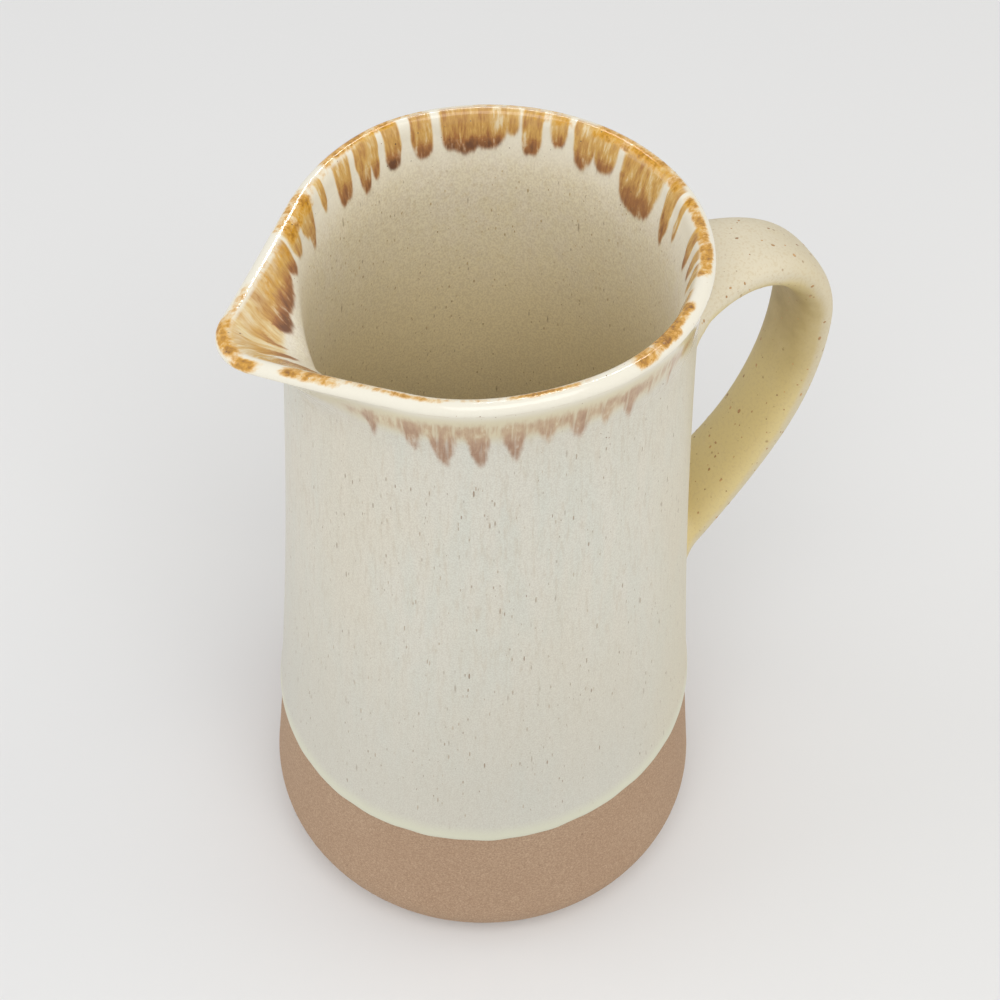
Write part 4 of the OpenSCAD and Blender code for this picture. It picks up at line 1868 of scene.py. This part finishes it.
@dataclass
class LinerGlaze(Coat):
    """The olive cream glaze inside, from the crest of the lip down over the floor.

    Attributes:
        under: Thickness at its hidden side, next to the clay.
        under_rim: Number of rows that lie under the brown glaze.
    """

    slot: str = "liner_glaze"
    node: str = "liner_glaze"
    under: float = 0.02
    under_rim: int = 20
    finish: LinerFinish = field(default_factory=LinerFinish)

    def sheet(self, grow: float, dense: int) -> list[Array]:
        """Gives the rows of one side of the coat, from the lip to the floor's middle.

        Args:
            grow: How far it stands off the clay.
            dense: How close the rows are.

        Returns:
            The rows.
        """
        form, bearing = self.form, crowded(self.columns)
        rows: list[Array] = []
        for share in np.linspace(0, 1, dense)[:-1]:
            rows.append(form.lip(grow, 0.5 + share * (form.brink(bearing) - 0.5), bearing))
        throat = np.linspace(form.shoulder_h, form.lip_z - form.dense_h, 4 * dense - 6)
        for depth in (*np.linspace(0.0, form.shoulder_h, 7), *throat[1:]):
            rows.append(form.inside(grow, depth, bearing))
        corner = form.corner(form.floor_t, form.floor_round, form.wall_t, -grow, 14)
        for z in np.linspace(form.dense_h, corner[-1][1], 5 * dense)[1:-1]:
            rows.append(form.face(-1, grow, z, bearing))
        rows += [ring(radius, z, bearing) for radius, z in corner[::-1]]
        for share in (0.8, 0.5, 0.2, 0.02):
            rows.append(ring(corner[0][0] * share, form.floor_t + grow, bearing))
        return rows

    def build(self) -> Piece:
        """Makes the coat's mesh.

        Returns:
            The object.
        """
        under, over = self.sheet(self.under, 5)[::-1], self.sheet(self.form.glaze_t, 9)
        covered = self.under_rim
        shown = np.concatenate([np.zeros(len(under) + covered), np.ones(len(over) - covered)])
        rings = np.array(under + over)
        return make_mesh("liner_glaze_coat", rings, {"open": shown[:, None]}, poles=(True, True))


@dataclass
class RimGlaze(Coat):
    """The brown glaze that lies on the rim and has run down inside and outside.

    Attributes:
        pattern: Where it lies.
        outside_depth: How far the coat reaches down outside, in millimetres.
        inside_depth: How far it reaches down inside.
        step: Depth between two rows.
        pull: How strongly the runs turn downhill.
        base_t: Thickness where no run stands on it.
        sunk: Thickness at its edges, which lie in the cream coats.
        under: How far its hidden side lies below the cream coats' faces.
        stored: What is stored on its points.
    """

    relief: CoatRelief = CoatRelief(run=0.2)
    slot: str = "rim_glaze"
    node: str = "rim_glaze"
    pattern: RimPattern = field(default_factory=RimPattern)
    outside_depth: float = 20.0
    inside_depth: float = 15.6
    step: float = 0.4
    pull: float = 1.5
    columns: int = 800
    base_t: float = 0.05
    sunk: float = -0.06
    under: float = 0.12
    stored: tuple[str, ...] = (
        "open", "raised", "inside", "across", "down", "cover", "tone", "mauve",
        "strength", "amber", "creamy", "polish",
    )
    finish: RimFinish = field(default_factory=RimFinish)

    def build(self) -> Piece:
        """Makes the coat's mesh, with where its colours lie stored on its points.

        Returns:
            The object.
        """
        form, bearing = self.form, crowded(self.columns)
        brink = form.brink(bearing)
        span_out, span_in = self.outside_depth, self.inside_depth
        arc = form.lip_t / 2 * math.pi
        rings: list[Array] = []
        kept: dict[str, list[Array]] = {key: [] for key in self.stored}

        def add(row: Array, **values: Array | float) -> None:
            """Adds a row.

            Args:
                row: Its points.
                **values: The values stored on them, of which those left out are 0.
            """
            rings.append(row)
            for key, store in kept.items():
                store.append(np.broadcast_to(values.get(key, 0.0), bearing.shape))

        def fade(start: float, end: float, value: float) -> float:
            """Eases a number from 0 at the start to 1 at the end."""
            return ease((value - start) / (end - start))

        def wall(side: Side, depth: float, span: float, source: Array) -> None:
            """Adds a row on the wall.

            Args:
                side: The face of the wall.
                depth: Depth below the lip.
                span: How far the coat reaches down on that face.
                source: Bearings on the lip that the glaze there came from.
            """
            inside = side is Side.INSIDE
            veil = self.pattern.veil(source, depth, side)
            share = (brink if inside else np.zeros_like(bearing)) - side.value * depth / arc
            near = self.pattern.amber(bearing, share)
            thick = self.sunk + (self.base_t - self.sunk) * fade(span, span - 5.0, depth)
            raised = (1.0 if inside else 0.4) * veil.cover * fade(0.0, 3.0, depth)
            grow = form.glaze_t + thick
            if inside:
                row = form.inside(grow, depth, bearing)
            else:
                row = form.face(1, grow, form.lip_z - depth, bearing)
            add(
                row,
                inside=1.0 if inside else 0.0,
                open=fade(span, span - 4.0, depth),
                raised=raised * (1.0 - 0.7 * smooth((0.6 - np.abs(bearing)) / 0.25)),
                across=source * form.lip_r,
                down=(brink - 0.5) * arc + depth if inside else -depth - arc / 2,
                cover=veil.cover,
                tone=veil.tone,
                mauve=veil.mauve,
                strength=0.95 if inside else 0.92,
                amber=near,
                creamy=0.9 * (fade(14.0, 2.0, depth) if inside else fade(8.5, 2.5, depth)),
                polish=fade(7.0, 0.0, depth) if inside else fade(span - 1.0, 4.0, depth),
            )

        flows: dict[Side, list[Array]] = {}
        for side, span in ((Side.OUTSIDE, span_out), (Side.INSIDE, span_in)):
            flow = self.pattern.downhill(form, side, bearing, self.step, self.pull)
            flows[side] = list(islice(flow, round(span / self.step) + 1))
        for row, source in reversed(list(enumerate(flows[Side.OUTSIDE]))[1:]):
            wall(Side.OUTSIDE, row * self.step, span_out, source)
        rim = self.pattern.veil(bearing, 0.0, Side.INSIDE)
        for share in np.linspace(0, 1, 17):
            here = share * brink
            amber = self.pattern.amber(bearing, here)
            add(
                form.lip(form.glaze_t + self.base_t + 0.05 * amber * (1.0 - share), here, bearing),
                inside=smooth((here - 0.3) / 0.35),
                open=1.0,
                across=bearing * form.lip_r,
                down=(here - 0.5) * arc,
                cover=rim.cover,
                tone=rim.tone,
                strength=0.95 * self.pattern.wash(bearing, here),
                amber=amber,
                creamy=0.9,
                polish=1.0,
            )
        for row, source in list(enumerate(flows[Side.INSIDE]))[1:]:
            wall(Side.INSIDE, row * self.step, span_in, source)
        hidden = form.glaze_t - self.under
        for depth in (*np.linspace(span_in, form.shoulder_h, 5), 2.0, 1.0, 0.0):
            add(form.inside(hidden, depth, bearing))
        for share in np.linspace(1, 0, 6)[1:-1]:
            add(form.lip(hidden, share * brink, bearing))
        for depth in np.linspace(0, span_out, 6):
            add(form.face(1, hidden, form.lip_z - depth, bearing))
        stored = {key: np.array(store) for key, store in kept.items()}
        return make_mesh("rim_glaze_coat", np.array(rings), stored, joined=True)


@dataclass
class StrapHandle:
    """The pulled strap, the slip that joins it to the wall, and the glaze over both.

    Attributes:
        form: The strap's form.
        sides: Number of points round the strap.
        clay_rings: Number of the clay's rings from a joint to the bend.
        clay_corner_rings: Number of its rings at a joint.
        rings_each: Number of the glaze's rings from a joint to the bend.
        corner_rings: Number of its rings round a hollow corner.
        under: How far the hidden faces lie from the clay, in millimetres.
    """

    form: StrapForm
    sides: int = 96
    clay_rings: int = 40
    clay_corner_rings: int = 8
    rings_each: int = 60
    corner_rings: int = 14
    under: float = 0.03
    clay: ClayFinish = field(default_factory=ClayFinish)
    glaze: StrapFinish = field(default_factory=StrapFinish)
    relief: CoatRelief = CoatRelief(wave=0.06, width=16.0, seed=8)

    def build(self) -> dict[str, Piece]:
        """Makes the strap, its two joints and its glaze.

        Returns:
            The objects, by the name of the CAD node that each stands for.
        """
        form, corner_rings = self.form, self.corner_rings
        made: dict[str, Piece] = {}
        bare = form.rings(False, 0.0, self.sides, self.clay_rings, self.clay_corner_rings)
        made["handle"] = make_mesh("strap", bare, poles=(True, True))
        turn = np.linspace(0, 2 * math.pi, self.sides, endpoint=False)
        filled, open_corner = (form.spots(slip, 0.0, corner_rings) for slip in (True, False))
        for upper, node in ((True, "upper_joint_slip"), (False, "lower_joint_slip")):
            over = form.half(upper, filled, 0.0, turn, 1)[: corner_rings + 2]
            under = form.half(upper, open_corner, -self.under, turn, 1)[: corner_rings + 1]
            made[node] = make_mesh(node + "_fillet", np.concatenate([over, under[::-1]]), joined=True)
        outer = form.rings(True, form.jug.glaze_t, self.sides, self.rings_each, corner_rings)
        inner = form.rings(True, self.under, self.sides, self.rings_each, corner_rings)
        count = len(outer)
        share = np.linspace(0, 1, count)
        facing = smooth((np.sin(turn) + 0.2) / 0.5)
        values = {
            "inner": np.broadcast_to(facing, (2 * count, self.sides)),
            "low": np.concatenate([share, share[::-1]])[:, None],
            "open": np.concatenate([np.ones(count), np.zeros(count)])[:, None],
        }
        rings = np.concatenate([outer, inner[::-1]])
        made["handle_glaze"] = make_mesh("strap_glaze_coat", rings, values, joined=True)
        return made

    def dress(self, pieces: dict[str, Piece], tree: GeometryTree) -> dict[str, Piece]:
        """Gives the handle's pieces their finishes and their places.

        Args:
            pieces: The pieces, by the name of the CAD node that each stands for.
            tree: The tree that makes the glaze uneven.

        Returns:
            The pieces, by the same names.
        """
        clays = {slot: self.clay.material(slot) for slot in ("handle_clay", "joint_slip")}
        slots = {"upper_joint_slip": "joint_slip", "lower_joint_slip": "joint_slip"}
        for node, slot in {"handle": "handle_clay", **slots}.items():
            pieces[node].data.materials.append(clays[slot])
            settle(pieces[node], slot, node)
        glaze = self.relief.build(tree, pieces["handle_glaze"], self.glaze.material("strap_glaze"))
        return {**pieces, "handle_glaze": settle(glaze, "strap_glaze", "handle_glaze")}


# Specks in the glaze


@dataclass(frozen=True)
class SpeckFinish:
    """Iron specks that have come up through the glaze, from dark to pale."""

    dark: Colour
    pale: Colour
    roughness: float = 0.35

    def material(self, name: str) -> bpy.types.Material:
        """Makes the material."""
        graph = Graph(name)
        return graph.finish(graph.mix(graph.attribute("shade"), self.dark, self.pale), self.roughness)


@dataclass(frozen=True)
class Specks:
    """Iron specks scattered over a coat of glaze.

    Attributes:
        name: Name of the specks.
        slot: The record's material slot, which is not used.
        finish: Their finish.
        density: How many there are to a square metre.
        size: Radius of the largest, in millimetres.
        stretch: How much taller than wide they are.
        seed: Seed of their places.
        relief: How much thinner than wide they are.
    """

    name: str
    slot: str
    finish: SpeckFinish
    density: float
    size: float
    stretch: float
    seed: int
    relief: float = 0.1

    @staticmethod
    def tree() -> GeometryTree:
        """Makes the tree that scatters specks over a mesh's open faces.

        Returns:
            The tree.
        """
        made = GeometryTree(
            "speck_scatter",
            [
                ("Density", "NodeSocketFloat"),
                ("Size", "NodeSocketFloat"),
                ("Stretch", "NodeSocketFloat"),
                ("Relief", "NodeSocketFloat"),
                ("Seed", "NodeSocketInt"),
                ("Material", "NodeSocketMaterial"),
            ],
        )
        given = made.given.outputs

        def chance(low: float, high: float, own: int) -> Socket:
            """Gives each speck a number from low to high, by a seed of its own."""
            values = {"Min": low, "Max": high, "Seed": made.plus(given["Seed"], own)}
            return made.result("FunctionNodeRandomValue", values, data_type="FLOAT")

        density = made.times(made.stored("open"), given["Density"])
        points = made.node(
            "GeometryNodeDistributePointsOnFaces",
            {"Mesh": given["Geometry"], "Density": density, "Seed": given["Seed"]},
        )
        upright = made.node(
            "FunctionNodeAlignRotationToVector",
            {"Rotation": points.outputs["Rotation"], "Vector": (0.0, 0.0, 1.0)},
            axis="Y",
            pivot_axis="Z",
        )
        lot = chance(0.0, 1.0, 1)
        span = {"Value": made.times(lot, lot), "To Min": 0.36, "To Max": 1.0}
        radius = made.times(given["Size"], made.result("ShaderNodeMapRange", span))
        tall = made.times(made.times(radius, given["Stretch"]), chance(0.6, 1.3, 2))
        flat = made.times(radius, given["Relief"])
        scale = made.result("ShaderNodeCombineXYZ", {"X": radius, "Y": tall, "Z": flat})
        ball = made.node("GeometryNodeMeshUVSphere", {"Segments": 8, "Rings": 4, "Radius": 1.0})
        spread = made.node(
            "GeometryNodeInstanceOnPoints",
            {
                "Points": points.outputs["Points"],
                "Instance": ball.outputs["Mesh"],
                "Rotation": upright.outputs[0],
                "Scale": scale,
            },
        )
        stored = made.node(
            "GeometryNodeStoreNamedAttribute",
            {"Geometry": spread.outputs[0], "Name": "shade", "Value": chance(0.0, 1.0, 3)},
            data_type="FLOAT",
            domain="INSTANCE",
        )
        made.end(stored.outputs[0], given["Material"])
        return made

    def build(self, tree: GeometryTree, coat: Piece) -> Piece:
        """Scatters the specks over a coat.

        Args:
            tree: The tree that scatters them.
            coat: The coat.

        Returns:
            The specks.
        """
        values = {
            "Density": self.density,
            "Size": self.size * MM,
            "Stretch": self.stretch,
            "Relief": self.relief,
            "Seed": self.seed,
            "Material": self.finish.material(self.name),
        }
        made = tree.apply(coat, self.name, values)
        made.data.shade_smooth()
        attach(made, "root")
        return made


# Studio


def around(azimuth: float, elevation: float, distance: float) -> Triple:
    """Gives a place round the jug.

    Args:
        azimuth: Its azimuth in degrees, 0 in front and positive to the right.
        elevation: Its elevation in degrees.
        distance: Its distance in metres.

    Returns:
        The place in metres.
    """
    turn, lift = math.radians(azimuth), math.radians(elevation)
    flat = distance * math.cos(lift)
    return flat * math.sin(turn), -flat * math.cos(turn), distance * math.sin(lift)


@dataclass(frozen=True)
class Softbox:
    """A soft light.

    Attributes:
        name: Its name.
        place: Where it stands, in metres.
        aim: Where it points, in metres.
        size: Its width and height, in metres.
        power: Its power, in watts.
        colour: Its colour.
        diffuse: Whether it lights matt surfaces.
        glossy: Whether it shows in reflections.
    """

    name: str
    place: Triple
    aim: Triple
    size: tuple[float, float]
    power: float
    colour: Colour = (1.0, 1.0, 1.0)
    diffuse: bool = True
    glossy: bool = True

    def build(self) -> Piece:
        """Makes the light.

        Returns:
            The object.
        """
        lamp = bpy.data.lights.new(self.name, "AREA")
        lamp.shape = "RECTANGLE"
        lamp.size, lamp.size_y = self.size
        lamp.energy, lamp.color = self.power, self.colour
        made = bpy.data.objects.new(self.name, lamp)
        made.visible_diffuse = self.diffuse
        made.visible_glossy = self.glossy
        made.location = self.place
        way = Vector(self.aim) - Vector(self.place)
        made.rotation_euler = way.to_track_quat("-Z", "Y").to_euler()
        bpy.context.scene.collection.objects.link(made)
        return made


@dataclass
class Studio:
    """The floor, the lights and the camera, whose sizes are millimetres and degrees.

    Attributes:
        floor_size: How far the floor reaches each way, in metres.
        sky: Strength of the sky.
        distance: The camera's distance from its target.
        azimuth: Its azimuth, 0 in front and positive to the right.
        roll: How far it is turned round its axis.
        across: How far right of the axis its target is.
        up: Height of the target.
    """

    floor_size: float = 6.0
    floor_colour: Colour = (0.8, 0.8, 0.8)
    sky: float = 0.6
    sky_colour: Colour = (1.0, 1.0, 1.0)
    focal: float = 66.67
    sensor: float = 36.0
    distance: float = 449.15
    azimuth: float = -26.27
    elevation: float = 49.39
    roll: float = 1.42
    across: float = 3.15
    up: float = 116.67

    def floor(self) -> Piece:
        """Makes the floor.

        Returns:
            The object.
        """
        size = self.floor_size
        corners = [(-size, -size, 0), (size, -size, 0), (size, size, 0), (-size, size, 0)]
        mesh = bpy.data.meshes.new("floor")
        mesh.from_pydata(corners, [], [(0, 1, 2, 3)])
        graph = Graph("floor_paper")
        mesh.materials.append(graph.finish(self.floor_colour, 0.9, Specular_IOR_Level=0.0))
        made = bpy.data.objects.new("floor", mesh)
        bpy.context.scene.collection.objects.link(made)
        return made

    def light(self) -> None:
        """Makes the sky and the soft lights."""
        world = bpy.data.worlds.new("studio")
        world.use_nodes = True
        background = world.node_tree.nodes["Background"]
        background.inputs["Color"].default_value = (*self.sky_colour, 1.0)
        background.inputs["Strength"].default_value = self.sky
        bpy.context.scene.world = world
        aim, warm = (0.0, 0.0, 0.12), (1.0, 0.95, 0.82)
        key, left = around(-20.0, 60.0, 2.0), around(-112.0, 24.0, 1.7)
        right, behind = around(72.0, 24.0, 1.7), around(146.0, 62.0, 1.7)
        for box in (
            Softbox("key", key, aim, (1.9, 1.2), 18.0),
            Softbox("left_fill", left, aim, (1.1, 1.1), 4.7),
            Softbox("warm_fill", right, aim, (1.0, 1.0), 4.0, warm, glossy=False),
            Softbox("strip", behind, aim, (0.9, 0.07), 5.4, diffuse=False),
        ):
            box.build()

    def camera(self) -> Piece:
        """Makes the camera at the photo's place.

        Returns:
            The object.
        """
        turn, roll = math.radians(self.azimuth), math.radians(self.roll)
        back = Vector(around(self.azimuth, self.elevation, 1.0))
        right = Vector((math.cos(turn), math.sin(turn), 0.0))
        up = back.cross(right)
        level = right * math.cos(roll) + up * math.sin(roll)
        upright = -right * math.sin(roll) + up * math.cos(roll)
        place = (right * self.across + Vector((0, 0, self.up)) + back * self.distance) * MM
        lens = bpy.data.cameras.new("camera")
        lens.lens, lens.sensor_width = self.focal, self.sensor
        lens.clip_start, lens.clip_end = 0.01, 20.0
        made = bpy.data.objects.new("camera", lens)
        axes = Matrix((level, upright, back)).transposed()
        made.matrix_world = Matrix.Translation(place) @ axes.to_4x4()
        bpy.context.scene.collection.objects.link(made)
        bpy.context.scene.camera = made
        return made


SPECKS: dict[str, Specks] = {
    "outer_glaze_coat": Specks(
        "outer_specks", "cream_glaze", SpeckFinish(srgb(160, 142, 122), srgb(198, 186, 166)),
        30000.0, 0.2, 4.6, 3,
    ),
    "liner_glaze_coat": Specks(
        "liner_specks", "liner_glaze", SpeckFinish(srgb(188, 164, 122), srgb(220, 202, 162)),
        60000.0, 0.23, 2.2, 5,
    ),
    "rim_glaze_coat": Specks(
        "rim_specks", "rim_glaze", SpeckFinish(srgb(90, 64, 42), srgb(184, 150, 108)),
        20000.0, 0.19, 1.2, 7,
    ),
    "strap_glaze_coat": Specks(
        "strap_specks", "strap_glaze", SpeckFinish(srgb(158, 118, 76), srgb(212, 168, 112)),
        34000.0, 0.5, 1.3, 11,
    ),
}


def main() -> None:
    logging.basicConfig(level=logging.INFO, format="%(name)s: %(message)s")
    bpy.context.scene.view_settings.view_transform = "Standard"
    form = JugForm()
    body = ClayBody(form)
    pieces = [body.dress(body.build())]
    relief, scatter = CoatRelief.tree(), Specks.tree()
    for coat in (OuterGlaze(form), LinerGlaze(form), RimGlaze(form)):
        pieces.append(coat.dress(coat.build(), relief))
    handle = StrapHandle(StrapForm(form))
    pieces += handle.dress(handle.build(), relief).values()
    pieces += [SPECKS[piece.name].build(scatter, piece) for piece in pieces if piece.name in SPECKS]
    for piece in pieces:
        LOG.info("%s: %d faces", piece.name, len(piece.data.polygons))
    studio = Studio()
    studio.floor()
    studio.light()
    studio.camera()


if __name__ == "__main__":
    main()
